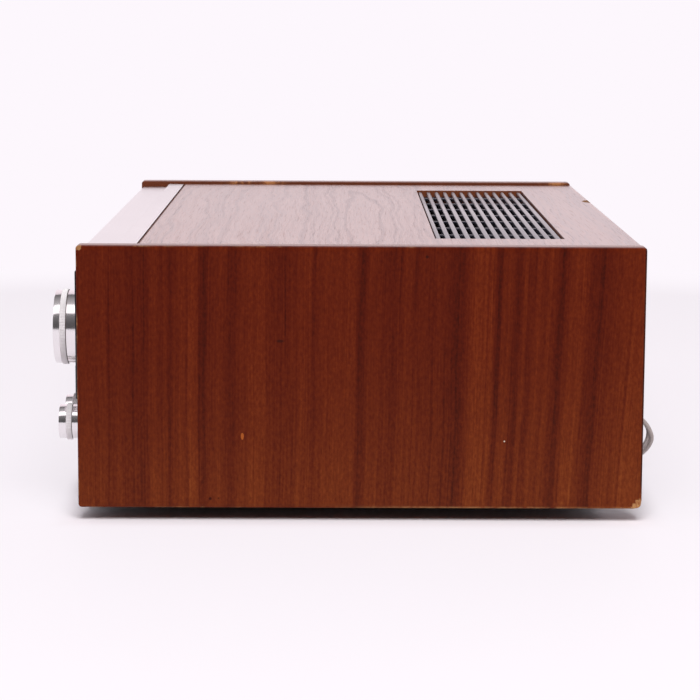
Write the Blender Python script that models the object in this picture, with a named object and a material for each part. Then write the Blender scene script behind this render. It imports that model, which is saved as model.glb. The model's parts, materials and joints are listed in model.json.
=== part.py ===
"""A stereo receiver in a wooden cabinet, built from its separate pieces.

Metres, +Z up. The front faces -Y and +X is the right side as seen from the front. The origin is on the
surface that the feet stand on, at the middle of the width and of the depth over the tuning knob.
"""
import math

import bmesh
import bpy
from mathutils import Matrix, Vector

for old in list(bpy.data.objects):
    bpy.data.objects.remove(old)

# Shared clearances
fit_gap = 0.0003
running_gap = 0.0004
overrun = 0.002
weld_distance = 0.000001
sharp_angle = math.radians(35)

# Wooden cabinet
cabinet_width = 0.490
cabinet_depth = 0.330
cabinet_height = 0.154
floor_clearance = 0.008
side_thickness = 0.013
top_thickness = 0.010
top_recess = 0.002
wood_rounding = 0.0012

# Vent in the top
vent_width = 0.356
vent_depth = 0.0785
vent_rear_margin = 0.0415
slat_count = 13
slat_width = 0.0031
slat_height = 0.004
slat_drop = 0.0022
bar_count = 7
bar_width = 0.0022
bar_drop = 0.0012
grille_rim = 0.0025

# Front panel and trim
knob_stand_out = 0.018
panel_setback = 0.0018
panel_thickness = 0.003
panel_lift = 0.003
flange_depth = 0.019
flange_thickness = 0.0025
flange_drop = 0.0022
trim_width = 0.0121
trim_height = 0.008
trim_rounding = 0.0004

# Dial
dial_side_margin = 0.019
dial_height = 0.0762
dial_below_top = 0.0171
dial_proud = 0.003
dial_rounding = 0.0008
window_side_margin = 0.012
window_knob_margin = 0.035
window_margin = 0.010
glass_lap = 0.0027
glass_thickness = 0.0025
scale_behind = 0.009
scale_thickness = 0.0015
scale_lap = 0.004
light_box_wall = 0.002
light_box_drop = 0.0045
light_box_inset = 0.003

# Pointer that travels along the scale
pointer_travel = 0.230
pointer_rest_share = 0.4
pointer_right_margin = 0.027
pointer_width = 0.0016
pointer_before_scale = 0.0012
pointer_depth = 0.0014
hook_width = 0.010
hook_height = 0.0028
hook_lip = 0.0012
hook_reach = 0.0032

# Meters at the left of the dial
meter_width = 0.042
meter_height = 0.036
meter_spacing = 0.045
meter_side_margin = 0.003
meter_rim = 0.002
meter_cavity_depth = 0.007
needle_length = 0.021
needle_width = 0.0008
needle_depth = 0.0008
needle_hub_radius = 0.002
needle_hub_depth = 0.002
needle_pivot_lift = 0.0055
signal_needle_lean = math.radians(-22.5)

# Tuning knob, its spindle and the flywheel
tuning_place_share = 0.7633
tuning_band_radius = 0.022
tuning_ring_radius = 0.0227
tuning_front_band = 0.0041
tuning_ring_width = 0.0034
tuning_groove = 0.0006
tuning_knob_gap = 0.0005
tuning_face_rim = 0.0022
tuning_face_drop = 0.0007
knob_chamfer = 0.0004
spindle_radius = 0.003
spindle_grip = 0.009
spindle_tail = 0.012
sleeve_radius = 0.00665
sleeve_setback = 0.0035
flywheel_radius = 0.022
flywheel_width = 0.010
flywheel_before_wall = 0.0035

# Small knobs along the lower edge
knob_level = 0.0488
knob_band_radius = 0.01025
knob_ring_radius = 0.01115
knob_front_band = 0.0046
knob_ring_width = 0.0032
knob_reach = 0.0166
knob_groove = 0.0004
knob_gap = 0.0005
knob_face_rim = 0.0012
knob_face_drop = 0.0004
knob_shaft_radius = 0.003
knob_shaft_grip = 0.006
speaker_knob_share = -0.551
bass_knob_share = -0.398
treble_knob_share = -0.2449
balance_knob_share = -0.0918
volume_knob_share = 0.6163

# Controls behind the small knobs
control_radius = 0.0085
control_depth = 0.012
volume_control_radius = 0.012
volume_control_depth = 0.016
selector_control_radius = 0.0125
selector_control_depth = 0.026
tone_board_height = 0.028
tone_board_thickness = 0.0016
tone_board_margin = 0.018

# Push buttons
button_width = 0.012
button_height = 0.007
button_proud = 0.0065
button_travel = 0.003
button_inside = 0.005
button_stem = 0.004
button_stem_grip = 0.010
button_rounding = 0.0006
button_first_share = 0.1224
button_pitch_share = 0.1082
button_count = 4
power_button_width = 0.016
power_button_height = 0.010
power_button_share = -0.8367
switch_bank_margin = 0.006
switch_bank_height = 0.012
switch_bank_depth = 0.022
power_switch_width = 0.020
power_switch_height = 0.016

# Headphone jack
jack_place_share = -0.7
jack_ring_radius = 0.0064
jack_ring_proud = 0.0015
jack_barrel_radius = 0.005
jack_bore_radius = 0.0032
jack_end_wall = 0.0015
jack_wall_gap = 0.001

# Steel chassis, bottom cover and rear panel
sheet_thickness = 0.0012
wall_behind_panel = 0.0182
chassis_front_height = 0.125
chassis_side_height = 0.022
rear_setback = 0.018
cover_drop = 0.0015
cover_slot_count = 12
cover_slot_width = 0.004
cover_slot_length = 0.034
cover_slot_pitch = 0.012
cover_row_spacing = 0.100

# Feet
foot_radius = 0.015
foot_taper = 0.002
foot_side_margin = 0.075
foot_front_margin = 0.041
foot_rear_margin = 0.039

# Tuning capacitor and the dial drum
drum_place_share = 0.5306
drum_radius = 0.0244
drum_width = 0.008
drum_rim = 0.001
drum_behind_wall = 0.0018
capacitor_width = 0.040
capacitor_height = 0.040
capacitor_length = 0.052
capacitor_wall = 0.0025
capacitor_behind_drum = 0.003
leg_thickness = 0.003
leg_setback = 0.016
rotor_radius = 0.0155
rotor_length = 0.036
rotor_inset = 0.006
rotor_shaft_radius = 0.003

# Power supply and amplifier
transformer_width = 0.080
transformer_depth = 0.066
transformer_height = 0.070
core_depth = 0.034
bell_inset = 0.007
transformer_place_share = -0.6939
transformer_row = 0.060
transformer_rounding = 0.003
capacitor_can_radius = 0.0175
capacitor_can_height = 0.068
capacitor_can_share = -0.3224
capacitor_can_spacing = 0.042
capacitor_can_row = 0.090
capacitor_can_rounding = 0.002
heat_sink_share = 0.3951
heat_sink_front = 0.072
heat_sink_height = 0.062
heat_sink_depth = 0.046
heat_sink_base = 0.005
fin_count = 14
fin_pitch = 0.0132
fin_thickness = 0.002
transistor_radius = 0.010
transistor_thickness = 0.007
transistor_spacing = 0.045
transistor_count = 4

# Circuit boards
board_thickness = 0.0016
board_lift = 0.007
standoff_radius = 0.003
standoff_inset = 0.006
amplifier_board_share = 0.4163
amplifier_board_front = -0.006
amplifier_board_width = 0.180
amplifier_board_depth = 0.064
tuner_board_gap = 0.012
tuner_board_front = -0.096
tuner_board_width = 0.160
tuner_board_depth = 0.080
part_height = 0.012
part_radius = 0.005
part_steps = 8

# Connectors on the rear panel
speaker_strip_width = 0.110
speaker_strip_height = 0.026
speaker_strip_depth = 0.009
speaker_strip_share = -0.551
speaker_strip_place_z = 0.040
screw_count = 8
screw_radius = 0.0035
screw_proud = 0.003
jack_plate_width = 0.086
jack_plate_height = 0.044
jack_plate_thickness = 0.002
jack_plate_share = -0.0327
jack_plate_place_z = 0.072
socket_columns = 4
socket_rows = 2
socket_pitch_x = 0.019
socket_pitch_z = 0.020
socket_radius = 0.0042
socket_length = 0.009
socket_bore_radius = 0.0017
antenna_strip_width = 0.066
antenna_strip_height = 0.020
antenna_strip_depth = 0.008
antenna_strip_share = -0.6531
antenna_strip_place_z = 0.100
antenna_screw_count = 5
antenna_screw_pitch = 0.012

# Ferrite antenna, which swings out from the rear panel
antenna_pivot_place = 0.100
antenna_level = 0.129
antenna_behind_panel = 0.0085
antenna_length = 0.150
antenna_radius = 0.0048
antenna_eye_radius = 0.0046
antenna_eye_height = 0.006
antenna_pin_radius = 0.0018
ear_width = 0.012
ear_thickness = 0.002
ear_reach = 0.014

# Mains cord: two cores side by side, so it is wider than it is thick
cord_width = 0.0056
cord_thickness = 0.0029
cord_exit_place = 0.090
cord_exit_level = 0.0386
cord_step = 0.0145
cord_floor_gap = 0.0001
relief_length = 0.021
relief_flange_radius = 0.0085
relief_flange_width = 0.0025
relief_base_radius = 0.0060
relief_tip_radius = 0.0040
relief_plug_radius = 0.0055
relief_plug_length = 0.005
coil_radius = 0.040
coil_turn_pitch = 0.0046
coil_layer_pitch = 0.0063
coil_loops = 6.25
coil_loop_points = 24
coil_clearance = 0.0045
coil_lift = 0.001
coil_line = 0.187
tail_length = 0.055
tail_points = 5
plug_length = 0.026
plug_width = 0.020
plug_height = 0.014
plug_rounding = 0.003
plug_neck_length = 0.009
plug_neck_width = 0.010
plug_neck_height = 0.008
blade_length = 0.017
blade_width = 0.0015
blade_height = 0.0063
blade_spacing = 0.0127
tie_width = 0.006
tie_thickness = 0.0007
tie_gap = 0.0005

# Places worked out from the sizes above
half_width = cabinet_width / 2
inner_half = half_width - side_thickness - fit_gap
total_depth = cabinet_depth + knob_stand_out
front_edge = knob_stand_out - total_depth / 2
rear_edge = total_depth / 2
wood_bottom = floor_clearance
wood_top = floor_clearance + cabinet_height
top_level = wood_top - top_recess
panel_front = front_edge + panel_setback
panel_back = panel_front + panel_thickness
panel_bottom = wood_bottom + panel_lift
flange_top = top_level - flange_drop
flange_back = panel_front + flange_depth
trim_back = flange_back + fit_gap + trim_width
wood_front = trim_back + fit_gap
vent_back = rear_edge - vent_rear_margin
vent_front = vent_back - vent_depth
dial_top = wood_top - dial_below_top
dial_bottom = dial_top - dial_height
dial_middle = (dial_top + dial_bottom) / 2
dial_front = front_edge - dial_proud
dial_back = panel_front - fit_gap
dial_width = cabinet_width - 2 * dial_side_margin
tuning_place = tuning_place_share * half_width
window_left = window_side_margin - dial_width / 2
window_right = tuning_place - window_knob_margin
window_bottom = dial_bottom + window_margin
window_top = dial_top - window_margin
wall_front = panel_back + wall_behind_panel
wall_back = wall_front + sheet_thickness
scale_front = panel_back + scale_behind
scale_back = scale_front + scale_thickness
scale_bottom = window_bottom - scale_lap
scale_top = window_top + scale_lap
scale_left = window_left - scale_lap
scale_right = window_right + scale_lap
foot_front_row = front_edge + foot_front_margin
foot_rear_row = rear_edge - foot_rear_margin
foot_column = half_width - foot_side_margin
cover_bottom = wood_bottom + cover_drop
cover_top = cover_bottom + sheet_thickness
chassis_floor = cover_top + fit_gap
floor_level = chassis_floor + sheet_thickness + fit_gap
rear_face = rear_edge - rear_setback
rear_inside = rear_face - sheet_thickness
pointer_rest = window_right - pointer_right_margin - pointer_travel * (1 - pointer_rest_share)
knob_places = {
    "speaker": speaker_knob_share * half_width,
    "bass": bass_knob_share * half_width,
    "treble": treble_knob_share * half_width,
    "balance": balance_knob_share * half_width,
    "volume": volume_knob_share * half_width,
    "selector": tuning_place,
}
button_shares = [button_first_share + index * button_pitch_share for index in range(button_count)]
button_places = [share * half_width for share in button_shares]
power_button_place = power_button_share * half_width
jack_place = jack_place_share * half_width
drum_place = drum_place_share * half_width

finishes = {
    "walnut": ((0.16, 0.045, 0.018), 0.38, 0.0),
    "aluminium": ((0.80, 0.79, 0.80), 0.28, 1.0),
    "turned_aluminium": ((0.82, 0.81, 0.81), 0.2, 1.0),
    "black_satin": ((0.012, 0.012, 0.016), 0.35, 0.0),
    "dial_black": ((0.01, 0.01, 0.02), 0.3, 0.0),
    "smoked_glass": ((0.05, 0.06, 0.08), 0.05, 0.0),
    "scale_paint": ((0.03, 0.05, 0.08), 0.5, 0.0),
    "white_plastic": ((0.75, 0.75, 0.72), 0.5, 0.0),
    "pointer_red": ((0.7, 0.05, 0.02), 0.4, 0.0),
    "steel": ((0.50, 0.50, 0.48), 0.4, 1.0),
    "black_steel": ((0.02, 0.02, 0.02), 0.5, 0.0),
    "rubber": ((0.02, 0.02, 0.02), 0.8, 0.0),
    "brown_board": ((0.22, 0.10, 0.03), 0.5, 0.0),
    "green_board": ((0.05, 0.16, 0.06), 0.5, 0.0),
    "copper_winding": ((0.35, 0.16, 0.06), 0.45, 0.0),
    "blue_sleeve": ((0.03, 0.06, 0.20), 0.35, 0.0),
    "black_anodised": ((0.015, 0.015, 0.015), 0.45, 0.6),
    "brown_plastic": ((0.10, 0.05, 0.03), 0.45, 0.0),
    "ferrite": ((0.05, 0.045, 0.045), 0.6, 0.0),
    "cord_brown": ((0.16, 0.13, 0.12), 0.5, 0.0),
}


def finish_of(name, finish):
    """A Principled material for one piece."""
    colour, roughness, metallic = finishes[finish]
    material = bpy.data.materials.new(name)
    material.use_nodes = True
    shader = material.node_tree.nodes["Principled BSDF"]
    shader.inputs["Base Color"].default_value = (*colour, 1.0)
    shader.inputs["Roughness"].default_value = roughness
    shader.inputs["Metallic"].default_value = metallic
    return material


def piece(name, shape, finish, at=(0, 0, 0), smooth=False):
    """A named object whose origin is at the given place."""
    mesh = bpy.data.meshes.new(name)
    shape.to_mesh(mesh)
    shape.free()
    if smooth:
        mesh.shade_smooth()
        mesh.set_sharp_from_angle(angle=sharp_angle)
    mesh.materials.append(finish_of(name, finish))
    thing = bpy.data.objects.new(name, mesh)
    thing.location = at
    bpy.context.scene.collection.objects.link(thing)
    return thing


def guide(name, shape, at=(0, 0, 0)):
    """A shape that only cuts or extends another piece."""
    mesh = bpy.data.meshes.new(name)
    shape.to_mesh(mesh)
    shape.free()
    thing = bpy.data.objects.new(name, mesh)
    thing.location = at
    thing.hide_render = True
    thing.display_type = "WIRE"
    bpy.context.scene.collection.objects.link(thing)
    return thing


def cut(target, tool):
    step = target.modifiers.new("cut", "BOOLEAN")
    step.operation = "DIFFERENCE"
    step.object = tool


def join(target, tool):
    step = target.modifiers.new("join", "BOOLEAN")
    step.operation = "UNION"
    step.object = tool


def soften(thing, width, segments=1):
    step = thing.modifiers.new("rounding", "BEVEL")
    step.width = width
    step.segments = segments
    step.limit_method = "ANGLE"


def block(low, high):
    """A box between two corners."""
    shape = bmesh.new()
    bmesh.ops.create_cube(shape, size=1)
    low = Vector(low)
    high = Vector(high)
    bmesh.ops.scale(shape, vec=high - low, verts=shape.verts)
    bmesh.ops.translate(shape, vec=(low + high) / 2, verts=shape.verts)
    return shape


def turned(profile, steps, facing="up"):
    """A profile of (radius, height) points spun round its axis, which then faces up, front or rear."""
    shape = bmesh.new()
    points = [shape.verts.new((radius, 0, height)) for radius, height in profile]
    edges = [shape.edges.new(pair) for pair in zip(points, points[1:])]
    bmesh.ops.spin(
        shape,
        geom=points + edges,
        axis=(0, 0, 1),
        cent=(0, 0, 0),
        angle=math.tau,
        steps=steps,
        use_merge=True,
    )
    bmesh.ops.remove_doubles(shape, verts=shape.verts, dist=weld_distance)
    bmesh.ops.recalc_face_normals(shape, faces=shape.faces)
    turn = {"up": 0, "front": math.pi / 2, "rear": -math.pi / 2}[facing]
    bmesh.ops.rotate(shape, cent=(0, 0, 0), matrix=Matrix.Rotation(turn, 3, "X"), verts=shape.verts)
    return shape


def rod(radius, low, high, steps, facing="up"):
    """A plain cylinder between two heights along its axis."""
    return turned([(0, low), (radius, low), (radius, high), (0, high)], steps, facing)


def prism(outline, start, end, across):
    """An outline drawn square to one axis and extruded along it."""
    order = {"X": lambda a, b: (start, a, b), "Z": lambda a, b: (a, b, start)}[across]
    push = {"X": (end - start, 0, 0), "Z": (0, 0, end - start)}[across]
    shape = bmesh.new()
    corners = [shape.verts.new(order(a, b)) for a, b in outline]
    face = shape.faces.new(corners)
    grown = bmesh.ops.extrude_face_region(shape, geom=[face])
    moved = [item for item in grown["geom"] if isinstance(item, bmesh.types.BMVert)]
    bmesh.ops.translate(shape, vec=push, verts=moved)
    bmesh.ops.recalc_face_normals(shape, faces=shape.faces)
    return shape


def shifted(shape, by):
    bmesh.ops.translate(shape, vec=by, verts=shape.verts)
    return shape


def gathered(shapes):
    """Several shapes in one mesh."""
    whole = bmesh.new()
    for shape in shapes:
        carrier = bpy.data.meshes.new("carrier")
        shape.to_mesh(carrier)
        shape.free()
        whole.from_mesh(carrier)
        bpy.data.meshes.remove(carrier)
    return whole


def side_panels():
    for name, side in (("side_panel_right", 1), ("side_panel_left", -1)):
        outer = side * half_width
        inner = side * (half_width - side_thickness)
        low = (min(outer, inner), front_edge, wood_bottom)
        high = (max(outer, inner), rear_edge, wood_top)
        soften(piece(name, block(low, high), "walnut"), wood_rounding, 2)


def top_panel():
    shape = block((-inner_half, wood_front, top_level - top_thickness), (inner_half, rear_edge, top_level))
    panel = piece("top_panel", shape, "walnut")
    low = (-vent_width / 2, vent_front, top_level - top_thickness - overrun)
    high = (vent_width / 2, vent_back, top_level + overrun)
    cut(panel, guide("vent_cutter", block(low, high)))


def top_trim():
    low = (-inner_half, flange_back + fit_gap, top_level - trim_height)
    high = (inner_half, trim_back, top_level)
    soften(piece("top_trim", block(low, high), "aluminium"), trim_rounding)


def vent_grille():
    """Slats along the width, tied by lower cross bars and a rim that fits the opening."""
    left = fit_gap - vent_width / 2
    front = vent_front + fit_gap
    back = vent_back - fit_gap
    slat_top = top_level - slat_drop
    slat_bottom = slat_top - slat_height
    grille = piece("vent_grille", block((left, front, slat_bottom), (-left, back, slat_top)), "black_satin")
    inside = block(
        (left + grille_rim, front + grille_rim, slat_bottom - overrun),
        (-left - grille_rim, back - grille_rim, slat_top + overrun),
    )
    cut(grille, guide("grille_cutter", inside))
    slat_pitch = (back - front - 2 * grille_rim + slat_width) / (slat_count + 1)
    slats = []
    for index in range(slat_count):
        middle = front + grille_rim - slat_width / 2 + slat_pitch * (index + 1)
        slats.append(
            block(
                (left + grille_rim / 2, middle - slat_width / 2, slat_bottom),
                (-left - grille_rim / 2, middle + slat_width / 2, slat_top),
            )
        )
    join(grille, guide("slats", gathered(slats)))
    cell = (2 * abs(left) - 2 * grille_rim) / (bar_count + 1)
    bars = []
    for index in range(bar_count):
        middle = left + grille_rim + cell * (index + 1)
        bars.append(
            block(
                (middle - bar_width / 2, front + grille_rim / 2, slat_bottom + bar_drop / 2),
                (middle + bar_width / 2, back - grille_rim / 2, slat_top - bar_drop),
            )
        )
    join(grille, guide("cross_bars", gathered(bars)))


def bottom_cover():
    shape = block((-inner_half, panel_front, cover_bottom), (inner_half, rear_face, cover_top))
    cover = piece("bottom_cover", shape, "black_steel")
    slots = []
    for row in (-1, 1):
        for index in range(cover_slot_count):
            middle_x = (index - (cover_slot_count - 1) / 2) * cover_slot_pitch
            middle_y = (foot_front_row + foot_rear_row + row * cover_row_spacing) / 2
            half_x = cover_slot_width / 2
            half_y = cover_slot_length / 2
            slots.append(
                block(
                    (middle_x - half_x, middle_y - half_y, cover_bottom - overrun),
                    (middle_x + half_x, middle_y + half_y, cover_top + overrun),
                )
            )
    cut(cover, guide("cover_slots", gathered(slots)))


def feet():
    height = cover_bottom - fit_gap
    profile = [
        (0, 0),
        (foot_radius - foot_taper, 0),
        (foot_radius, height - foot_taper),
        (foot_radius, height),
        (0, height),
    ]
    for end, row in (("front", foot_front_row), ("rear", foot_rear_row)):
        for hand, side in (("left", -1), ("right", 1)):
            place = (side * foot_column, row, 0)
            piece(f"foot_{end}_{hand}", turned(profile, 20), "rubber", place, smooth=True)


def front_openings(gap, low, high):
    """Holes for the shafts and the push buttons, between two depths."""
    holes = []
    for place in knob_places.values():
        hole = rod(knob_shaft_radius + gap, -high, -low, 12, "front")
        holes.append(shifted(hole, (place, 0, knob_level)))
    for place in button_places:
        holes.append(
            block(
                (place - button_width / 2 - gap, low, knob_level - button_height / 2 - gap),
                (place + button_width / 2 + gap, high, knob_level + button_height / 2 + gap),
            )
        )
    half_width_here = power_button_width / 2 + gap
    half_height_here = power_button_height / 2 + gap
    holes.append(
        block(
            (power_button_place - half_width_here, low, knob_level - half_height_here),
            (power_button_place + half_width_here, high, knob_level + half_height_here),
        )
    )
    return holes


def front_panel():
    """One aluminium section: the face and the flange along the top."""
    outline = [
        (panel_front, panel_bottom),
        (panel_back, panel_bottom),
        (panel_back, flange_top - flange_thickness),
        (flange_back, flange_top - flange_thickness),
        (flange_back, flange_top),
        (panel_front, flange_top),
    ]
    panel = piece("front_panel", prism(outline, -inner_half, inner_half, "X"), "aluminium")
    low = panel_front - overrun
    high = panel_back + overrun
    openings = front_openings(running_gap, low, high)
    openings.append(block((window_left, low, window_bottom), (window_right, high, window_top)))
    tuning_hole = rod(spindle_radius + running_gap, -high, -low, 12, "front")
    openings.append(shifted(tuning_hole, (tuning_place, 0, dial_middle)))
    jack_hole = rod(jack_barrel_radius + fit_gap, -high, -low, 20, "front")
    openings.append(shifted(jack_hole, (jack_place, 0, knob_level)))
    cut(panel, guide("front_openings", gathered(openings)))


def dial_escutcheon():
    low = (-dial_width / 2, dial_front, dial_bottom)
    high = (dial_width / 2, dial_back, dial_top)
    frame = piece("dial_escutcheon", block(low, high), "dial_black")
    soften(frame, dial_rounding, 2)
    window = block(
        (window_left, dial_front - overrun, window_bottom),
        (window_right, dial_back + overrun, window_top),
    )
    cut(frame, guide("dial_window", window))
    lap = glass_lap + fit_gap
    rebate_floor = dial_back - glass_thickness - fit_gap
    rebate = block(
        (window_left - lap, rebate_floor, window_bottom - lap),
        (window_right + lap, dial_back + overrun, window_top + lap),
    )
    cut(frame, guide("glass_rebate", rebate))
    hole_back = dial_back + overrun
    hole = rod(spindle_radius + running_gap, -hole_back, overrun - dial_front, 12, "front")
    cut(frame, guide("spindle_hole", hole, (tuning_place, 0, dial_middle)))


def dial_glass():
    low = (window_left - glass_lap, dial_back - glass_thickness, window_bottom - glass_lap)
    high = (window_right + glass_lap, dial_back, window_top + glass_lap)
    piece("dial_glass", block(low, high), "smoked_glass")


def meter_places():
    first = window_left + meter_side_margin + meter_width / 2
    return {"signal": first, "tuning": first + meter_spacing}


def dial_scale():
    """The plate with the printed scale, pierced for the two meters."""
    low = (scale_left, scale_front, scale_bottom)
    high = (scale_right, scale_back, scale_top)
    plate = piece("dial_scale", block(low, high), "scale_paint")
    half_x = meter_width / 2 + fit_gap
    half_z = meter_height / 2 + fit_gap
    holes = []
    for place in meter_places().values():
        holes.append(
            block(
                (place - half_x, scale_front - overrun, dial_middle - half_z),
                (place + half_x, scale_back + overrun, dial_middle + half_z),
            )
        )
    cut(plate, guide("meter_holes", gathered(holes)))


def dial_light_box():
    """A white trough behind the scale, open towards it."""
    left = meter_places()["tuning"] + meter_width / 2 + light_box_inset
    right = scale_right - light_box_inset
    front = scale_back + fit_gap
    back = wall_front - fit_gap
    top = scale_top - light_box_drop
    box = piece("dial_light_box", block((left, front, scale_bottom), (right, back, top)), "white_plastic")
    hollow = block(
        (left + light_box_wall, front - overrun, scale_bottom + light_box_wall),
        (right - light_box_wall, back - light_box_wall, top - light_box_wall),
    )
    cut(box, guide("light_box_hollow", hollow))


def dial_pointer():
    """A slim bar before the scale, hung on the scale's top edge by its hook."""
    back = scale_front - pointer_before_scale
    front = back - pointer_depth
    bar_top = scale_top + hook_height
    bar = block((-pointer_width / 2, front, window_bottom), (pointer_width / 2, back, bar_top))
    pointer = piece("dial_pointer", bar, "pointer_red", (pointer_rest, 0, 0))
    hook_bottom = scale_top + fit_gap
    bridge = block(
        (-hook_width / 2, front, hook_bottom),
        (hook_width / 2, scale_back + fit_gap + hook_lip, hook_bottom + hook_height),
    )
    lip = block(
        (-hook_width / 2, scale_back + fit_gap, scale_top - hook_reach),
        (hook_width / 2, scale_back + fit_gap + hook_lip, hook_bottom + hook_height / 2),
    )
    join(pointer, guide("hook_bridge", bridge, (pointer_rest, 0, 0)))
    join(pointer, guide("hook_lip", lip, (pointer_rest, 0, 0)))


def meters():
    """Two meters with open faces, and a needle turning in each."""
    front = panel_back + fit_gap
    cavity_back = front + meter_cavity_depth
    for kind, place in meter_places().items():
        bottom = dial_middle - meter_height / 2
        low = (place - meter_width / 2, front, bottom)
        high = (place + meter_width / 2, wall_front - fit_gap, bottom + meter_height)
        body = piece(f"{kind}_meter", block(low, high), "white_plastic")
        hollow = block(
            (low[0] + meter_rim, front - overrun, bottom + meter_rim),
            (high[0] - meter_rim, cavity_back, bottom + meter_height - meter_rim),
        )
        cut(body, guide(f"{kind}_meter_hollow", hollow))
        hub_back = cavity_back - fit_gap
        hub = rod(needle_hub_radius, 0, needle_hub_depth, 12, "front")
        pivot = (place, hub_back, bottom + needle_pivot_lift)
        needle = piece(f"{kind}_needle", hub, "pointer_red", pivot)
        stem = block(
            (-needle_width / 2, -needle_hub_depth / 2 - needle_depth / 2, 0),
            (needle_width / 2, -needle_hub_depth / 2 + needle_depth / 2, needle_length),
        )
        join(needle, guide(f"{kind}_needle_stem", stem))
        bpy.data.objects[f"{kind}_needle_stem"].parent = needle
        if kind == "signal":
            needle.rotation_euler.y = signal_needle_lean


def knob_outline(length, band, ring, front_band, ring_width, groove, rim, drop):
    """A turned knob from the rim of its back to the middle of its face, measured from its back."""
    ring_front = length - front_band
    ring_back = ring_front - ring_width
    return [
        (band, 0),
        (band, ring_back - groove),
        (band - groove, ring_back),
        (ring, ring_back),
        (ring, ring_front),
        (band, ring_front),
        (band, length - knob_chamfer),
        (band - knob_chamfer, length),
        (band - rim, length),
        (band - rim - drop, length - drop),
        (0, length - drop),
    ]


def tuning_drive():
    """The large knob on its spindle, with the flywheel and the sleeve that drives the dial cord."""
    back = dial_front - tuning_knob_gap
    length = back - (front_edge - knob_stand_out)
    bore = spindle_radius + fit_gap
    outline = knob_outline(
        length,
        tuning_band_radius,
        tuning_ring_radius,
        tuning_front_band,
        tuning_ring_width,
        tuning_groove,
        tuning_face_rim,
        tuning_face_drop,
    )
    blind_end = spindle_grip + fit_gap
    profile = [(0, blind_end), (bore, blind_end), (bore, 0)] + outline
    knob = turned(profile, 40, "front")
    piece("tuning_knob", knob, "turned_aluminium", (tuning_place, back, dial_middle), smooth=True)
    flywheel_back = flywheel_before_wall + sheet_thickness
    sleeve_front = -sleeve_setback
    spindle = [
        (0, -spindle_tail),
        (sleeve_radius, -spindle_tail),
        (sleeve_radius, sleeve_front),
        (spindle_radius, sleeve_front),
        (spindle_radius, flywheel_back),
        (flywheel_radius, flywheel_back),
        (flywheel_radius, flywheel_back + flywheel_width),
        (spindle_radius, flywheel_back + flywheel_width),
        (spindle_radius, wall_back - back + spindle_grip),
        (0, wall_back - back + spindle_grip),
    ]
    flywheel = turned(spindle, 24, "front")
    piece("tuning_flywheel", flywheel, "steel", (tuning_place, wall_back, dial_middle), smooth=True)


def small_knobs():
    back = panel_front - knob_gap
    length = back - (front_edge - knob_reach)
    shaft_end = wall_back + fit_gap + knob_shaft_grip - back
    outline = knob_outline(
        length,
        knob_band_radius,
        knob_ring_radius,
        knob_front_band,
        knob_ring_width,
        knob_groove,
        knob_face_rim,
        knob_face_drop,
    )
    profile = [(0, -shaft_end), (knob_shaft_radius, -shaft_end), (knob_shaft_radius, 0)] + outline
    for name, place in knob_places.items():
        knob = turned(profile, 20, "front")
        piece(f"{name}_knob", knob, "turned_aluminium", (place, back, knob_level), smooth=True)


def control(name, place, radius, depth, finish="steel"):
    """A round control behind the chassis wall, with a blind bore for its knob's shaft."""
    bore = knob_shaft_radius + running_gap
    bore_end = knob_shaft_grip + running_gap
    profile = [(0, -bore_end), (bore, -bore_end), (bore, 0), (radius, 0), (radius, -depth), (0, -depth)]
    where = (place, wall_back + fit_gap, knob_level)
    return piece(name, turned(profile[::-1], 20, "front"), finish, where, smooth=True)


def controls():
    control("speaker_switch", knob_places["speaker"], volume_control_radius, volume_control_depth)
    control("volume_control", knob_places["volume"], volume_control_radius, volume_control_depth)
    control("selector_switch", tuning_place, selector_control_radius, selector_control_depth)
    front = wall_back + fit_gap + control_depth - tone_board_thickness / 2
    back = front + tone_board_thickness
    half_height = tone_board_height / 2
    low = (knob_places["bass"] - tone_board_margin, front, knob_level - half_height)
    high = (knob_places["balance"] + tone_board_margin, back, knob_level + half_height)
    board = piece("tone_board", block(low, high), "brown_board")
    bore = knob_shaft_radius + running_gap
    bore_end = knob_shaft_grip + running_gap
    profile = [
        (0, -control_depth),
        (control_radius, -control_depth),
        (control_radius, 0),
        (bore, 0),
        (bore, -bore_end),
        (0, -bore_end),
    ]
    for name in ("bass", "treble", "balance"):
        where = (knob_places[name], wall_back + fit_gap, knob_level)
        join(board, guide(f"{name}_control", turned(profile, 12, "front"), where))


def push_button(name, place, width, height):
    """A cap in the front panel with a stem that reaches into its switch."""
    front = panel_front - button_proud
    back = panel_back + button_inside
    low = (-width / 2, front, -height / 2)
    high = (width / 2, back, height / 2)
    cap = piece(name, block(low, high), "aluminium", (place, 0, knob_level))
    soften(cap, button_rounding)
    half_stem = button_stem / 2
    stem_end = wall_back + button_stem_grip
    stem = block((-half_stem, back - overrun, -half_stem), (half_stem, stem_end, half_stem))
    tool = guide(f"{name}_stem", stem)
    tool.parent = cap
    join(cap, tool)


def stem_bore(place):
    half_bore = button_stem / 2 + running_gap
    end = wall_back + button_stem_grip + button_travel + fit_gap
    return block(
        (place - half_bore, wall_front - overrun, knob_level - half_bore),
        (place + half_bore, end, knob_level + half_bore),
    )


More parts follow.
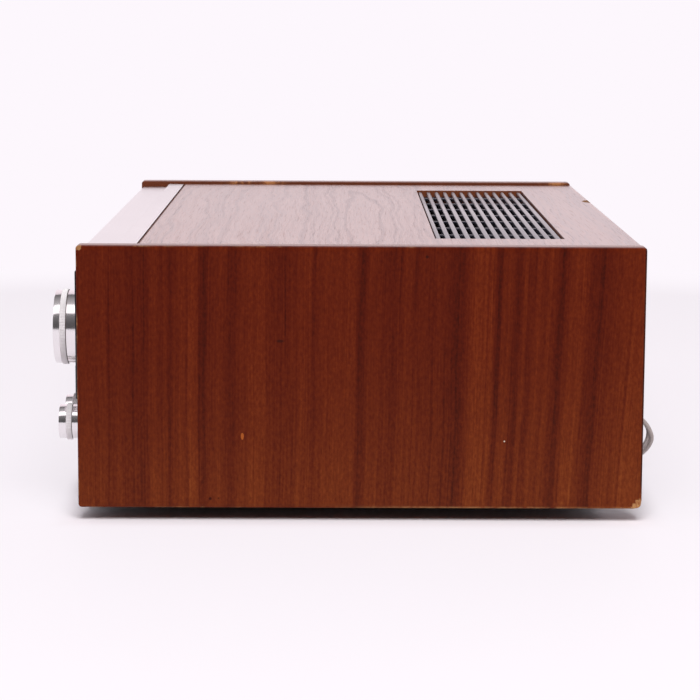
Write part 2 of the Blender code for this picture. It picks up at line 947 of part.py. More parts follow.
def switches():
    """The push buttons with the bank of four switches and the mains switch behind them."""
    names = ("loudness_button", "filter_button", "tape_button", "mono_button")
    for name, place in zip(names, button_places):
        push_button(name, place, button_width, button_height)
    push_button("power_button", power_button_place, power_button_width, power_button_height)
    front = wall_back + fit_gap
    half_height = switch_bank_height / 2
    back = front + switch_bank_depth
    side = button_width / 2 + switch_bank_margin
    low = (button_places[0] - side, front, knob_level - half_height)
    high = (button_places[-1] + side, back, knob_level + half_height)
    bank = piece("switch_bank", block(low, high), "white_plastic")
    cut(bank, guide("switch_bank_bores", gathered([stem_bore(place) for place in button_places])))
    half_switch = power_switch_width / 2
    low = (power_button_place - half_switch, front, knob_level - power_switch_height / 2)
    high = (power_button_place + half_switch, back, knob_level + power_switch_height / 2)
    mains = piece("power_switch", block(low, high), "black_satin")
    cut(mains, guide("power_switch_bore", stem_bore(power_button_place)))


def headphone_jack():
    """A threaded barrel through the front panel, with a round bore for the plug."""
    length = wall_front - panel_front - jack_wall_gap
    profile = [
        (0, jack_end_wall - length),
        (jack_bore_radius, jack_end_wall - length),
        (jack_bore_radius, jack_ring_proud),
        (jack_ring_radius - knob_chamfer, jack_ring_proud),
        (jack_ring_radius, jack_ring_proud - knob_chamfer),
        (jack_ring_radius, fit_gap),
        (jack_barrel_radius, fit_gap),
        (jack_barrel_radius, -length),
        (0, -length),
    ]
    jack_front = (jack_place, panel_front, knob_level)
    piece("headphone_jack", turned(profile, 20, "front"), "steel", jack_front, smooth=True)


def chassis():
    """A steel tray whose front wall carries the controls and the dial."""
    low = (-inner_half, wall_front, chassis_floor)
    high = (inner_half, rear_inside - fit_gap, chassis_floor + chassis_side_height)
    tray = piece("chassis", block(low, high), "steel")
    hollow = block(
        (low[0] + sheet_thickness, wall_back, chassis_floor + sheet_thickness),
        (high[0] - sheet_thickness, high[1] - sheet_thickness, high[2] + overrun),
    )
    cut(tray, guide("tray_hollow", hollow))
    wall_top = chassis_floor + chassis_front_height
    wall = block((-inner_half, wall_front, chassis_floor), (inner_half, wall_back, wall_top))
    join(tray, guide("front_wall", wall))
    low_y = wall_front - overrun
    high_y = wall_back + overrun
    holes = []
    for place in knob_places.values():
        hole = rod(knob_shaft_radius + running_gap, -high_y, -low_y, 12, "front")
        holes.append(shifted(hole, (place, 0, knob_level)))
    spindle_hole = rod(spindle_radius + fit_gap, -high_y, -low_y, 12, "front")
    holes.append(shifted(spindle_hole, (tuning_place, 0, dial_middle)))
    half_bore = button_stem / 2 + running_gap
    for place in button_places + [power_button_place]:
        holes.append(
            block(
                (place - half_bore, low_y, knob_level - half_bore),
                (place + half_bore, high_y, knob_level + half_bore),
            )
        )
    cut(tray, guide("wall_holes", gathered(holes)))


def rear_panel():
    """The steel rear panel, with the hole for the cord and the bracket of the ferrite antenna."""
    low = (-inner_half, rear_inside, chassis_floor)
    high = (inner_half, rear_face, top_level - top_thickness - fit_gap)
    panel = piece("rear_panel", block(low, high), "black_steel")
    hole = rod(relief_plug_radius + fit_gap, rear_inside - overrun, rear_face + overrun, 20, "rear")
    cut(panel, guide("cord_hole", hole, (cord_exit_place, 0, cord_exit_level)))
    half_eye = antenna_eye_height / 2 + fit_gap
    pivot_y = rear_face + antenna_behind_panel
    ear_left = antenna_pivot_place - ear_width / 2
    ear_right = antenna_pivot_place + ear_width / 2
    ear_root = rear_face - sheet_thickness / 2
    for name, bottom in (
        ("lower_ear", antenna_level - half_eye - ear_thickness),
        ("upper_ear", antenna_level + half_eye),
    ):
        ear = block(
            (ear_left, ear_root, bottom),
            (ear_right, rear_face + ear_reach, bottom + ear_thickness),
        )
        join(panel, guide(name, ear))
    half_pin = half_eye + ear_thickness / 2
    pin = rod(antenna_pin_radius, antenna_level - half_pin, antenna_level + half_pin, 12)
    join(panel, guide("antenna_pin", pin, (antenna_pivot_place, pivot_y, 0)))


def ferrite_antenna():
    """A round bar that lies along the rear panel and swings out on the pin of its bracket."""
    pivot = (antenna_pivot_place, rear_face + antenna_behind_panel, antenna_level)
    half_eye = antenna_eye_height / 2
    eye = rod(antenna_eye_radius, -half_eye, half_eye, 20)
    bar = piece("ferrite_antenna", eye, "ferrite", pivot, smooth=True)
    reach = ear_width / 2 + antenna_radius
    core = rod(antenna_radius, reach, antenna_length, 20)
    bmesh.ops.rotate(core, cent=(0, 0, 0), matrix=Matrix.Rotation(-math.pi / 2, 3, "Y"), verts=core.verts)
    half_neck = antenna_eye_radius / 2
    neck = block((-reach - overrun, -half_neck, -half_neck), (0, half_neck, half_neck))
    for name, shape in (("antenna_core", core), ("antenna_neck", neck)):
        tool = guide(name, shape)
        tool.parent = bar
        join(bar, tool)
    bore = rod(antenna_pin_radius + fit_gap, -half_eye - overrun, half_eye + overrun, 12)
    hole = guide("antenna_eye_hole", bore)
    hole.parent = bar
    cut(bar, hole)


def tuning_capacitor():
    """A frame with an open top on two legs, a half-round rotor in it, and the dial drum on its shaft."""
    drum_front = wall_back + drum_behind_wall
    drum_back = drum_front + drum_width
    frame_front = drum_back + capacitor_behind_drum
    frame_back = frame_front + capacitor_length
    half = capacitor_width / 2
    bottom = dial_middle - capacitor_height / 2
    top = dial_middle + capacitor_height / 2
    frame_low = (drum_place - half, frame_front, bottom)
    frame = piece("tuning_capacitor", block(frame_low, (drum_place + half, frame_back, top)), "steel")
    hollow = block(
        (drum_place - half + capacitor_wall, frame_front + capacitor_wall, bottom + capacitor_wall),
        (drum_place + half - capacitor_wall, frame_back - capacitor_wall, top + overrun),
    )
    cut(frame, guide("frame_hollow", hollow))
    bore_back = frame_front + capacitor_wall + overrun
    bore = rod(rotor_shaft_radius + fit_gap, -bore_back, overrun - frame_front, 12, "front")
    cut(frame, guide("frame_bore", bore, (drum_place, 0, dial_middle)))
    for name, near in (("front_leg", frame_front + leg_setback), ("rear_leg", frame_back - leg_thickness)):
        leg = block(
            (drum_place - half, near, floor_level),
            (drum_place + half, near + leg_thickness, bottom + capacitor_wall / 2),
        )
        join(frame, guide(name, leg))
    shaft_front = drum_front + fit_gap
    rotor_front = frame_front + rotor_inset
    shaft_length = rotor_front + rotor_length - shaft_front
    shaft = rod(rotor_shaft_radius, -shaft_length, 0, 12, "front")
    axle = (drum_place, shaft_front, dial_middle)
    rotor = piece("capacitor_rotor", shaft, "turned_aluminium", axle, smooth=True)
    vane_front = shaft_front - rotor_front
    vanes = rod(rotor_radius, vane_front - rotor_length, vane_front, 24, "front")
    bmesh.ops.bisect_plane(
        vanes,
        geom=vanes.verts[:] + vanes.edges[:] + vanes.faces[:],
        plane_co=(0, 0, 0),
        plane_no=(0, 0, 1),
        clear_outer=True,
    )
    bmesh.ops.holes_fill(vanes, edges=vanes.edges)
    bmesh.ops.recalc_face_normals(vanes, faces=vanes.faces)
    vane_block = guide("rotor_vanes", vanes)
    vane_block.parent = rotor
    join(rotor, vane_block)
    rim = drum_radius - drum_rim
    bore_radius = rotor_shaft_radius + fit_gap
    profile = [
        (bore_radius, 0),
        (drum_radius, 0),
        (drum_radius, drum_rim),
        (rim, 2 * drum_rim),
        (rim, drum_width - 2 * drum_rim),
        (drum_radius, drum_width - drum_rim),
        (drum_radius, drum_width),
        (bore_radius, drum_width),
        (bore_radius, 0),
    ]
    drum = turned(profile, 24, "front")
    piece("dial_drum", drum, "white_plastic", (drum_place, drum_back, dial_middle), smooth=True)


def power_transformer():
    low_z = floor_level
    x = transformer_place_share * half_width
    y = transformer_row
    core = block(
        (x - transformer_width / 2, y - core_depth / 2, low_z),
        (x + transformer_width / 2, y + core_depth / 2, low_z + transformer_height),
    )
    transformer = piece("power_transformer", core, "copper_winding")
    bells_top = low_z + transformer_height - bell_inset
    bells = block(
        (x - transformer_width / 2 + bell_inset, y - transformer_depth / 2, low_z + bell_inset),
        (x + transformer_width / 2 - bell_inset, y + transformer_depth / 2, bells_top),
    )
    tool = guide("end_bells", bells)
    soften(tool, transformer_rounding)
    join(transformer, tool)


def filter_capacitors():
    top = capacitor_can_height
    edge = capacitor_can_rounding
    radius = capacitor_can_radius
    profile = [(0, 0), (radius, 0), (radius, top - edge), (radius - edge, top), (0, top)]
    middle = capacitor_can_share * half_width
    for number, side in ((1, -1), (2, 1)):
        where = (middle + side * capacitor_can_spacing / 2, capacitor_can_row, floor_level)
        piece(f"filter_capacitor_{number}", turned(profile, 24), "blue_sleeve", where, smooth=True)


def heat_sink():
    """A comb of upright fins with the four power transistors on its front."""
    middle = heat_sink_share * half_width
    right = middle + (fin_pitch * (fin_count - 1) + fin_thickness) / 2
    left = 2 * middle - right
    front = heat_sink_front
    base = front + heat_sink_base
    back = front + heat_sink_depth
    outline = [(left, front), (right, front)]
    for index in reversed(range(fin_count)):
        edge = left + fin_pitch * index
        outline += [(edge + fin_thickness, back), (edge, back)]
        if index:
            outline += [(edge, base), (edge - fin_pitch + fin_thickness, base)]
    comb = prism(outline, floor_level, floor_level + heat_sink_height, "Z")
    sink = piece("heat_sink", comb, "black_anodised")
    level = floor_level + heat_sink_height / 2
    cans = []
    for index in range(transistor_count):
        can = rod(transistor_radius, -heat_sink_base / 2, transistor_thickness, 12, "front")
        along = middle + (index - (transistor_count - 1) / 2) * transistor_spacing
        cans.append(shifted(can, (along, front, level)))
    join(sink, guide("power_transistors", gathered(cans)))


def board(name, left, front, width, depth, finish, part_shares):
    """A circuit board on standoffs; part_shares are places on it as shares of its width and depth."""
    bottom = floor_level + board_lift
    top = bottom + board_thickness
    plate = piece(name, block((left, front, bottom), (left + width, front + depth, top)), finish)
    posts = []
    for x in (left + standoff_inset, left + width - standoff_inset):
        for y in (front + standoff_inset, front + depth - standoff_inset):
            post = rod(standoff_radius, floor_level, bottom + board_thickness / 2, part_steps)
            posts.append(shifted(post, (x, y, 0)))
    join(plate, guide(f"{name}_standoffs", gathered(posts)))
    parts = []
    for x_share, y_share, size_share in part_shares:
        can_top = top + part_height * size_share
        can = rod(part_radius * size_share, bottom + board_thickness / 2, can_top, part_steps)
        parts.append(shifted(can, (left + width * x_share, front + depth * y_share, 0)))
    join(plate, guide(f"{name}_parts", gathered(parts)))


def boards():
    amplifier_part_shares = [
        (0.15, 0.3, 1.4),
        (0.15, 0.7, 0.9),
        (0.38, 0.7, 1.4),
        (0.62, 0.3, 1.4),
        (0.85, 0.3, 0.9),
        (0.85, 0.7, 1.4),
    ]
    tuner_part_shares = [
        (0.2, 0.3, 0.8),
        (0.4, 0.65, 1.1),
        (0.6, 0.3, 1.1),
        (0.8, 0.6, 1.1),
    ]
    board(
        "amplifier_board",
        amplifier_board_share * half_width - amplifier_board_width / 2,
        amplifier_board_front,
        amplifier_board_width,
        amplifier_board_depth,
        "brown_board",
        amplifier_part_shares,
    )
    board(
        "tuner_board",
        drum_place - capacitor_width / 2 - tuner_board_gap - tuner_board_width,
        tuner_board_front,
        tuner_board_width,
        tuner_board_depth,
        "green_board",
        tuner_part_shares,
    )


def rear_strip(name, x, z, width, height, depth, finish):
    front = rear_face + fit_gap
    low = (x - width / 2, front, z - height / 2)
    high = (x + width / 2, front + depth, z + height / 2)
    return piece(name, block(low, high), finish)


def rear_connectors():
    speaker_middle = speaker_strip_share * half_width
    antenna_middle = antenna_strip_share * half_width
    plate_middle = jack_plate_share * half_width
    speaker = rear_strip(
        "speaker_terminals",
        speaker_middle,
        speaker_strip_place_z,
        speaker_strip_width,
        speaker_strip_height,
        speaker_strip_depth,
        "black_satin",
    )
    face = rear_face + fit_gap + speaker_strip_depth
    columns = screw_count // 2
    pitch = speaker_strip_width / columns
    screws = []
    for index in range(screw_count):
        column = index % columns - (columns - 1) / 2
        row = index // columns - 1 / 2
        screw = rod(screw_radius, face - overrun, face + screw_proud, part_steps, "rear")
        along = speaker_middle + column * pitch
        level = speaker_strip_place_z + row * speaker_strip_height / 2
        screws.append(shifted(screw, (along, 0, level)))
    join(speaker, guide("speaker_screws", gathered(screws)))

    antenna = rear_strip(
        "antenna_terminals",
        antenna_middle,
        antenna_strip_place_z,
        antenna_strip_width,
        antenna_strip_height,
        antenna_strip_depth,
        "brown_plastic",
    )
    face = rear_face + fit_gap + antenna_strip_depth
    screws = []
    for index in range(antenna_screw_count):
        column = index - (antenna_screw_count - 1) / 2
        screw = rod(screw_radius, face - overrun, face + screw_proud, part_steps, "rear")
        along = antenna_middle + column * antenna_screw_pitch
        screws.append(shifted(screw, (along, 0, antenna_strip_place_z)))
    join(antenna, guide("antenna_screws", gathered(screws)))

    plate = rear_strip(
        "input_jacks",
        plate_middle,
        jack_plate_place_z,
        jack_plate_width,
        jack_plate_height,
        jack_plate_thickness,
        "black_satin",
    )
    face = rear_face + fit_gap + jack_plate_thickness
    tip = face + socket_length
    root = face - jack_plate_thickness / 2
    profile = [
        (0, root),
        (socket_radius, root),
        (socket_radius, tip),
        (socket_bore_radius, tip),
        (socket_bore_radius, face),
        (0, face),
    ]
    sockets = []
    for column in range(socket_columns):
        for row in range(socket_rows):
            x = plate_middle + (column - (socket_columns - 1) / 2) * socket_pitch_x
            z = jack_plate_place_z + (row - (socket_rows - 1) / 2) * socket_pitch_z
            sockets.append(shifted(turned(profile, part_steps, "rear"), (x, 0, z)))
    join(plate, guide("sockets", gathered(sockets)))


def smooth_route(stations, step):
    """Points along a smooth curve through the stations, which may hold more than a place each."""
    first = stations[0] * 2 - stations[1]
    last = stations[-1] * 2 - stations[-2]
    ends = [first] + stations + [last]
    route = [stations[0]]
    for before, start, end, after in zip(ends, ends[1:], ends[2:], ends[3:]):
        parts = max(1, round((Vector(end[:3]) - Vector(start[:3])).length / step))
        for index in range(1, parts + 1):
            t = index / parts
            route.append(
                (
                    start * 2
                    + (end - before) * t
                    + (before * 2 - start * 5 + end * 4 - after) * t**2
                    + (start * 3 - before - end * 3 + after) * t**3
                )
                / 2
            )
    return route


def tangents(points):
    """The direction of a line of points at each of them."""
    runs = [(end - start).normalized() for start, end in zip(points, points[1:])]
    middle = [(before + after).normalized() for before, after in zip(runs, runs[1:])]
    return [runs[0]] + middle + [runs[-1]]


def flat_cord(name, points, wide, resolution):
    """A tube of the cord's section; wide gives the direction of its wider side at each point."""
    curve = bpy.data.curves.new(name, "CURVE")
    curve.dimensions = "3D"
    curve.twist_mode = "Z_UP"
    curve.bevel_depth = cord_thickness / 2
    curve.extrude = (cord_width - cord_thickness) / 2
    curve.bevel_resolution = resolution
    curve.use_fill_caps = True
    spline = curve.splines.new("POLY")
    spline.points.add(len(points) - 1)
    for place, point, along, side in zip(spline.points, points, tangents(points), wide):
        place.co = (*point, 1)
        upright = (Vector((0, 0, 1)) - along * along.z).normalized()
        across = side - along * side.dot(along)
        place.tilt = math.atan2(upright.cross(across).dot(along), upright.dot(across))
    cord = bpy.data.objects.new(name, curve)
    curve.materials.append(finish_of(name, "cord_brown"))
    bpy.context.scene.collection.objects.link(cord)
    return cord


def line_length(points):
    return sum((end - start).length for start, end in zip(points, points[1:]))


def coil_layout():
    """The middle of the coil, the height of its lower layer and the height of a plug that lies flat."""
    centre_x = -(half_width + coil_clearance + coil_radius + cord_thickness / 2)
    centre_y = coil_line - coil_radius
    return centre_x, centre_y, coil_lift + cord_width / 2


def cord_strain_relief():
    """A tapered sleeve with a flange, pushed through the rear panel."""
    flange = fit_gap + relief_flange_width
    profile = [
        (0, -relief_plug_length),
        (relief_plug_radius, -relief_plug_length),
        (relief_plug_radius, fit_gap),
        (relief_flange_radius, fit_gap),
        (relief_flange_radius, flange),
        (relief_base_radius, flange),
        (relief_tip_radius, relief_length),
        (0, relief_length),
    ]
    where = (cord_exit_place, rear_face, cord_exit_level)
    piece("cord_strain_relief", turned(profile, 20, "rear"), "rubber", where, smooth=True)


def power_cord():
    """The free stretch: out of the rear panel, down to the floor and along behind the cabinet."""
    x = cord_exit_place
    z = cord_exit_level
    start_y = rear_face + relief_length + fit_gap
    centre_x, centre_y, coil_level = coil_layout()
    low = cord_thickness / 2 + cord_floor_gap
    stations = [
        Vector((x, start_y, z, 1, 0, 0)),
        Vector((x, start_y + cord_width, z, 1, 0, 0)),
        Vector((0.0898, 0.1896, 0.0362, 1, 0.02, 0)),
        Vector((0.0894, 0.1945, 0.0320, 1, 0.08, -0.05)),
        Vector((0.0886, 0.1976, 0.0268, 0.95, 0.25, -0.12)),
        Vector((0.0871, 0.1984, 0.0212, 0.5, 0.85, -0.3)),
        Vector((0.0847, 0.1966, 0.0158, 0.12, 0.85, -0.5)),
        Vector((0.0812, 0.1932, 0.0110, 0, 0.85, -0.5)),
        Vector((0.0762, 0.1893, 0.0070, 0, 0.93, -0.35)),
        Vector((0.0695, 0.1858, 0.0040, 0, 0.98, -0.2)),
        Vector((0.0600, 0.1832, 0.0021, 0, 1, -0.1)),
        Vector((0.0490, 0.1822, low, 0, 1, 0)),
        Vector((0.0250, 0.1826, low, 0, 1, 0)),
        Vector((-0.0100, 0.1862, low, 0, 1, 0)),
        Vector((-0.0550, 0.1885, low, 0, 1, 0)),
        Vector((-0.1000, 0.1855, low, 0, 1, 0)),
        Vector((-0.1450, 0.1828, low, 0, 1, 0)),
        Vector((-0.1850, 0.1836, low, 0, 1, 0)),
        Vector((-0.2150, 0.1855, low + coil_lift / 2, 0, 0.9, 0.35)),
        Vector((-0.2400, coil_line - cord_thickness / 6, coil_level - coil_lift / 2, 0, 0.55, 0.8)),
        Vector((centre_x + 3 * cord_width, coil_line, coil_level, 0, 0.1, 1)),
        Vector((centre_x + 2 * cord_width + fit_gap, coil_line, coil_level, 0, 0, 1)),
        Vector((centre_x + cord_width + fit_gap, coil_line, coil_level, 0, 0, 1)),
    ]
    route = smooth_route(stations, cord_step)
    points = [Vector(place[:3]) for place in route]
    wide = [Vector(place[3:]) for place in route]
    flat_cord("power_cord", points, wide, 2)
    return line_length(points)


def coil_points():
    """The wound line: in along the floor, up a layer in the half turn where it reverses, and out again."""
    centre_x, centre_y, level = coil_layout()
    points_in_all = round(coil_loops * coil_loop_points)
    reverse = (coil_loops - 1 / 2) / 2
    points = [Vector((centre_x + cord_width, coil_line, level))]
    for index in range(points_in_all + 1):
        turns = index / coil_loop_points
        inward = min(turns, reverse) - max(0, turns - reverse - 1 / 2)
        climbed = min(1, max(0, (turns - reverse) * 2))
        angle = math.pi / 2 + turns * math.tau
        radius = coil_radius - coil_turn_pitch * inward
        height = level + coil_layer_pitch * climbed
        x = centre_x + radius * math.cos(angle)
        y = centre_y + radius * math.sin(angle)
        points.append(Vector((x, y, height)))
    return points


def tail_route(start):
    """From the top of the coil down to the plug, which lies beside it."""
    plug_level = plug_height / 2
    points = []
    for index in range(1, tail_points + 1):
        share = index / tail_points
        eased = share * share * (3 - 2 * share)
        height = start.z + (plug_level - start.z) * eased
        points.append(Vector((start.x, start.y - tail_length * share, height)))
    points.append(points[-1] - Vector((0, cord_width, 0)))
    return points


def least_gap(points):
    """The smallest gap between turns, both sections standing upright."""
    half_flat = (cord_width - cord_thickness) / 2
    middles = [(a + b) / 2 for a, b in zip(points, points[1:])]
    fine = [spot for pair in zip(points, middles) for spot in pair]
    apart = coil_loop_points
    least = cord_width
    for index, spot in enumerate(fine):
        for other in fine[index + apart :]:
            across = math.hypot(spot.x - other.x, spot.y - other.y)
            over = max(0, abs(spot.z - other.z) - 2 * half_flat)
            least = min(least, math.hypot(across, over) - cord_thickness)
    return least


def cord_coil():
    wound = coil_points()
    tail = tail_route(wound[-1])
    points = wound + tail
    flat = Vector((1, 0, 0))
    upright = Vector((0, 0, 1))
    wide = [upright] * len(wound)
    for index in range(len(tail)):
        share = min(1, (index + 1) / tail_points)
        wide.append(upright.lerp(flat, share))
    flat_cord("cord_coil", points, wide, 1)
    print(f"coil: least gap between turns {least_gap(points) * 1000:.2f} mm")
    return line_length(points), points[-1]


def power_plug(end):
    """A flat two-pin plug that lies on the floor, its neck towards the cord."""
    level = plug_height / 2
    start = end.y - fit_gap
    neck_end = start - plug_neck_length
    body = block(
        (end.x - plug_width / 2, neck_end - plug_length, 0),
        (end.x + plug_width / 2, neck_end, plug_height),
    )
    plug = piece("power_plug", body, "rubber")
    soften(plug, plug_rounding, 2)
    neck = block(
        (end.x - plug_neck_width / 2, neck_end - overrun, level - plug_neck_height / 2),
        (end.x + plug_neck_width / 2, start, level + plug_neck_height / 2),
    )
    join(plug, guide("plug_neck", neck))
    blades = []
    for side in (-1, 1):
        middle = end.x + side * blade_spacing / 2
        blades.append(
            block(
                (middle - blade_width / 2, neck_end - plug_length - blade_length, level - blade_height / 2),
                (middle + blade_width / 2, neck_end - plug_length + overrun, level + blade_height / 2),
            )
        )
    join(plug, guide("plug_blades", gathered(blades)))


def cord_tie():
    """A thin band round all the turns at one side of the coil."""
    centre_x, centre_y, level = coil_layout()
    reverse = (coil_loops - 1 / 2) / 2
    innermost = coil_radius - coil_turn_pitch * reverse - cord_thickness / 2 - tie_gap
    outermost = coil_radius + cord_thickness / 2 + tie_gap
    lowest = level - cord_width / 2 - fit_gap
    highest = level + coil_layer_pitch + cord_width / 2 + fit_gap
    wall = tie_thickness
    middle = centre_y
    near = (centre_x - tie_width / 2, middle - outermost - wall, lowest - wall)
    far = (centre_x + tie_width / 2, middle - innermost + wall, highest + wall)
    band = piece("cord_tie", block(near, far), "rubber")
    hollow = block(
        (near[0] - overrun, near[1] + wall, lowest),
        (far[0] + overrun, far[1] - wall, highest),
    )
    cut(band, guide("tie_hollow", hollow))


side_panels()
top_panel()
top_trim()
vent_grille()
bottom_cover()
feet()
front_panel()
dial_escutcheon()
dial_glass()
dial_scale()
dial_light_box()
dial_pointer()
meters()
tuning_drive()
small_knobs()
controls()
switches()
headphone_jack()
chassis()
rear_panel()
ferrite_antenna()
tuning_capacitor()
power_transformer()
filter_capacitors()
heat_sink()
boards()
rear_connectors()
cord_strain_relief()
free_length = power_cord()
coil_length, cord_end = cord_coil()
cord_tie()
power_plug(cord_end)
print(f"cord: {free_length:.3f} m free and {coil_length:.3f} m coiled")
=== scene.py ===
import json
import math

import bmesh
import bpy
from mathutils import Matrix, Vector


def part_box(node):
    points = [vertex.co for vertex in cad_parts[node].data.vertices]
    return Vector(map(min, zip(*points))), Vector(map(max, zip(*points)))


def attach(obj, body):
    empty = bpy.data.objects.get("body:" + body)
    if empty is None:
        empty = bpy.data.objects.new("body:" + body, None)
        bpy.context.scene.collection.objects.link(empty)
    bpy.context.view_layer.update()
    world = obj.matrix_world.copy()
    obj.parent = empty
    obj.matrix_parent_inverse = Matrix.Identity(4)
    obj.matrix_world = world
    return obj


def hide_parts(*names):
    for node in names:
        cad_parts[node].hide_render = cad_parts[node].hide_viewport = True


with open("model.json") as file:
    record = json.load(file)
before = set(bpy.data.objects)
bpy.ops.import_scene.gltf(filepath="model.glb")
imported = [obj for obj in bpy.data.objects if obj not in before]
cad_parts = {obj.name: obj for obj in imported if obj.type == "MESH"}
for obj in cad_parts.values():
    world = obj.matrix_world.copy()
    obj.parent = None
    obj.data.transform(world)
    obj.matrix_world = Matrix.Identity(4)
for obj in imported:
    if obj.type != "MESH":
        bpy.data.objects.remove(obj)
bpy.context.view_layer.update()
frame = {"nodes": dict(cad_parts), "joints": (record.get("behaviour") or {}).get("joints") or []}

scene = bpy.context.scene
nodes = frame["nodes"]
travel = {
    joint["name"]: joint.get("range_deg") or joint.get("range_m") for joint in frame["joints"]
}
smallKnobs = ("speaker", "bass", "treble", "balance", "volume", "selector")
pushButtons = ("power", "loudness", "filter", "tape", "mono")
sharpEdge = math.radians(32)
hair = 0.00003                      # thickness of printed paint


# Shader maths: an expression on wires adds its own nodes

def overload(operation, swapped=False):
    # an operator of two values, as one maths node
    def apply(wire, other):
        return wire.maths(operation, *((other, wire) if swapped else (wire, other)))
    return apply


class Wire:
    def __init__(self, paint, socket):
        self.paint = paint
        self.socket = socket

    def maths(self, operation, *values):
        return self.paint.node("ShaderNodeMath", {"operation": operation}, values)

    __add__, __radd__ = overload("ADD"), overload("ADD", True)
    __sub__, __rsub__ = overload("SUBTRACT"), overload("SUBTRACT", True)
    __mul__, __rmul__ = overload("MULTIPLY"), overload("MULTIPLY", True)
    __truediv__, __pow__ = overload("DIVIDE"), overload("POWER")
    least, most = overload("MINIMUM"), overload("MAXIMUM")

    def __abs__(self):
        return self.maths("ABSOLUTE", self)

    def wave(self, length):
        # 0 to 1 and back over each length
        return self.maths("SINE", self * (math.tau / length)) * 0.5 + 0.5

    def between(self, low, high):
        # 0 at low and 1 at high, eased; low may be the larger one
        values = {"Value": self, "From Min": low, "From Max": high}
        return self.paint.node("ShaderNodeMapRange", {"interpolation_type": "SMOOTHSTEP"}, values)


class Paint:
    def __init__(self, name, owner=None):
        self.owner = owner or bpy.data.materials.new(name)
        self.owner.use_nodes = True
        self.tree = self.owner.node_tree
        self.shader = self.tree.nodes.get("Principled BSDF")

    def feed(self, socket, value):
        if isinstance(value, Wire):
            self.tree.links.new(value.socket, socket)
        else:
            socket.default_value = value

    def node(self, kind, settings=None, inputs=(), output=0):
        made = self.tree.nodes.new(kind)
        for key, value in (settings or {}).items():
            if key == "stops":
                ramp = made.color_ramp
                while len(ramp.elements) < len(value):
                    ramp.elements.new(1.0)
                for stop, (position, colour) in zip(ramp.elements, value):
                    stop.position = position
                    stop.color = colour if hasattr(colour, "__len__") else (colour,) * 3 + (1.0,)
            else:
                setattr(made, key, value)
        for key, value in inputs.items() if isinstance(inputs, dict) else enumerate(inputs):
            self.feed(made.inputs[key], value)
        return Wire(self, made.outputs[output])

    def place(self):
        return self.node("ShaderNodeTexCoord", output="Object")

    def axes(self, vector):
        return [self.node("ShaderNodeSeparateXYZ", inputs=[vector], output=axis) for axis in "XYZ"]

    def vector(self, x, y, z):
        return self.node("ShaderNodeCombineXYZ", inputs=[x, y, z])

    def noise(self, vector, scale=1.0, detail=2.0, roughness=0.5):
        values = {"Vector": vector, "Scale": scale, "Detail": detail, "Roughness": roughness}
        return self.node("ShaderNodeTexNoise", inputs=values)

    def grain(self, x, y, z, detail=2.0, roughness=0.5):
        # noise stretched by its three coordinates
        return self.noise(self.vector(x, y, z), 1, detail, roughness)

    def speckle(self, scale, detail=2.0, roughness=0.5):
        # noise in the piece's own coordinates
        return self.noise(self.place(), scale, detail, roughness)

    def ramp(self, value, stops):
        return self.node("ShaderNodeValToRGB", {"stops": stops}, [value])

    def ray(self, kind):
        return self.node("ShaderNodeLightPath", output=f"Is {kind} Ray")

    def measure(self, operation, *vectors):
        return self.node("ShaderNodeVectorMath", {"operation": operation}, vectors, "Value")

    def mix(self, factor, first, second, blend="MIX"):
        settings = {"data_type": "RGBA", "blend_type": blend, "clamp_factor": True}
        return self.node("ShaderNodeMix", settings, {0: factor, 6: first, 7: second}, output=2)

    def spot(self, centre, radius, vector):
        # 1 at a place on the piece, falling to 0 at the radius
        return self.measure("DISTANCE", vector, centre).between(radius, radius * 0.35)

    def bump(self, height, strength, distance):
        values = {"Height": height, "Strength": strength, "Distance": distance}
        self.feed(self.shader.inputs["Normal"], self.node("ShaderNodeBump", inputs=values))

    def finish(self, **values):
        for key, value in values.items():
            self.feed(self.shader.inputs[key.replace("_", " ")], value)
        return self.owner


def painting(name):
    # a new material with the piece's own coordinates, whole and by axis
    paint = Paint(name)
    place = paint.place()
    return paint, place, *paint.axes(place)


def tone(red, green, blue):
    # a colour as a screen shows it, from 0 to 255
    values = [part / 255 for part in (red, green, blue)]
    linear = [v / 12.92 if v <= 0.04045 else ((v + 0.055) / 1.055) ** 2.4 for v in values]
    return (*linear, 1.0)


# Shapes

def block(low, high, rounding=0.0, segments=2):
    shape = bmesh.new()
    bmesh.ops.create_cube(shape, size=1)
    low, high = Vector(low), Vector(high)
    bmesh.ops.scale(shape, vec=high - low, verts=shape.verts)
    bmesh.ops.translate(shape, vec=(low + high) / 2, verts=shape.verts)
    if rounding:
        rounded(shape, shape.edges[:], rounding, segments)
    return shape


def slab(centre, halves, rounding=0.0, segments=2):
    # a block round a place, from its half sizes
    centre, halves = Vector(centre), Vector(halves)
    return block(centre - halves, centre + halves, rounding, segments)


def rounded(shape, edges, width, segments=2):
    bmesh.ops.bevel(
        shape,
        geom=edges,
        offset=width,
        offset_type="OFFSET",
        segments=segments,
        profile=0.5,
        affect="EDGES",
        clamp_overlap=True,
        material=-1,
    )


def sliced(shape, place, normal, **options):
    everything = shape.verts[:] + shape.edges[:] + shape.faces[:]
    bmesh.ops.bisect_plane(shape, geom=everything, plane_co=place, plane_no=normal, **options)


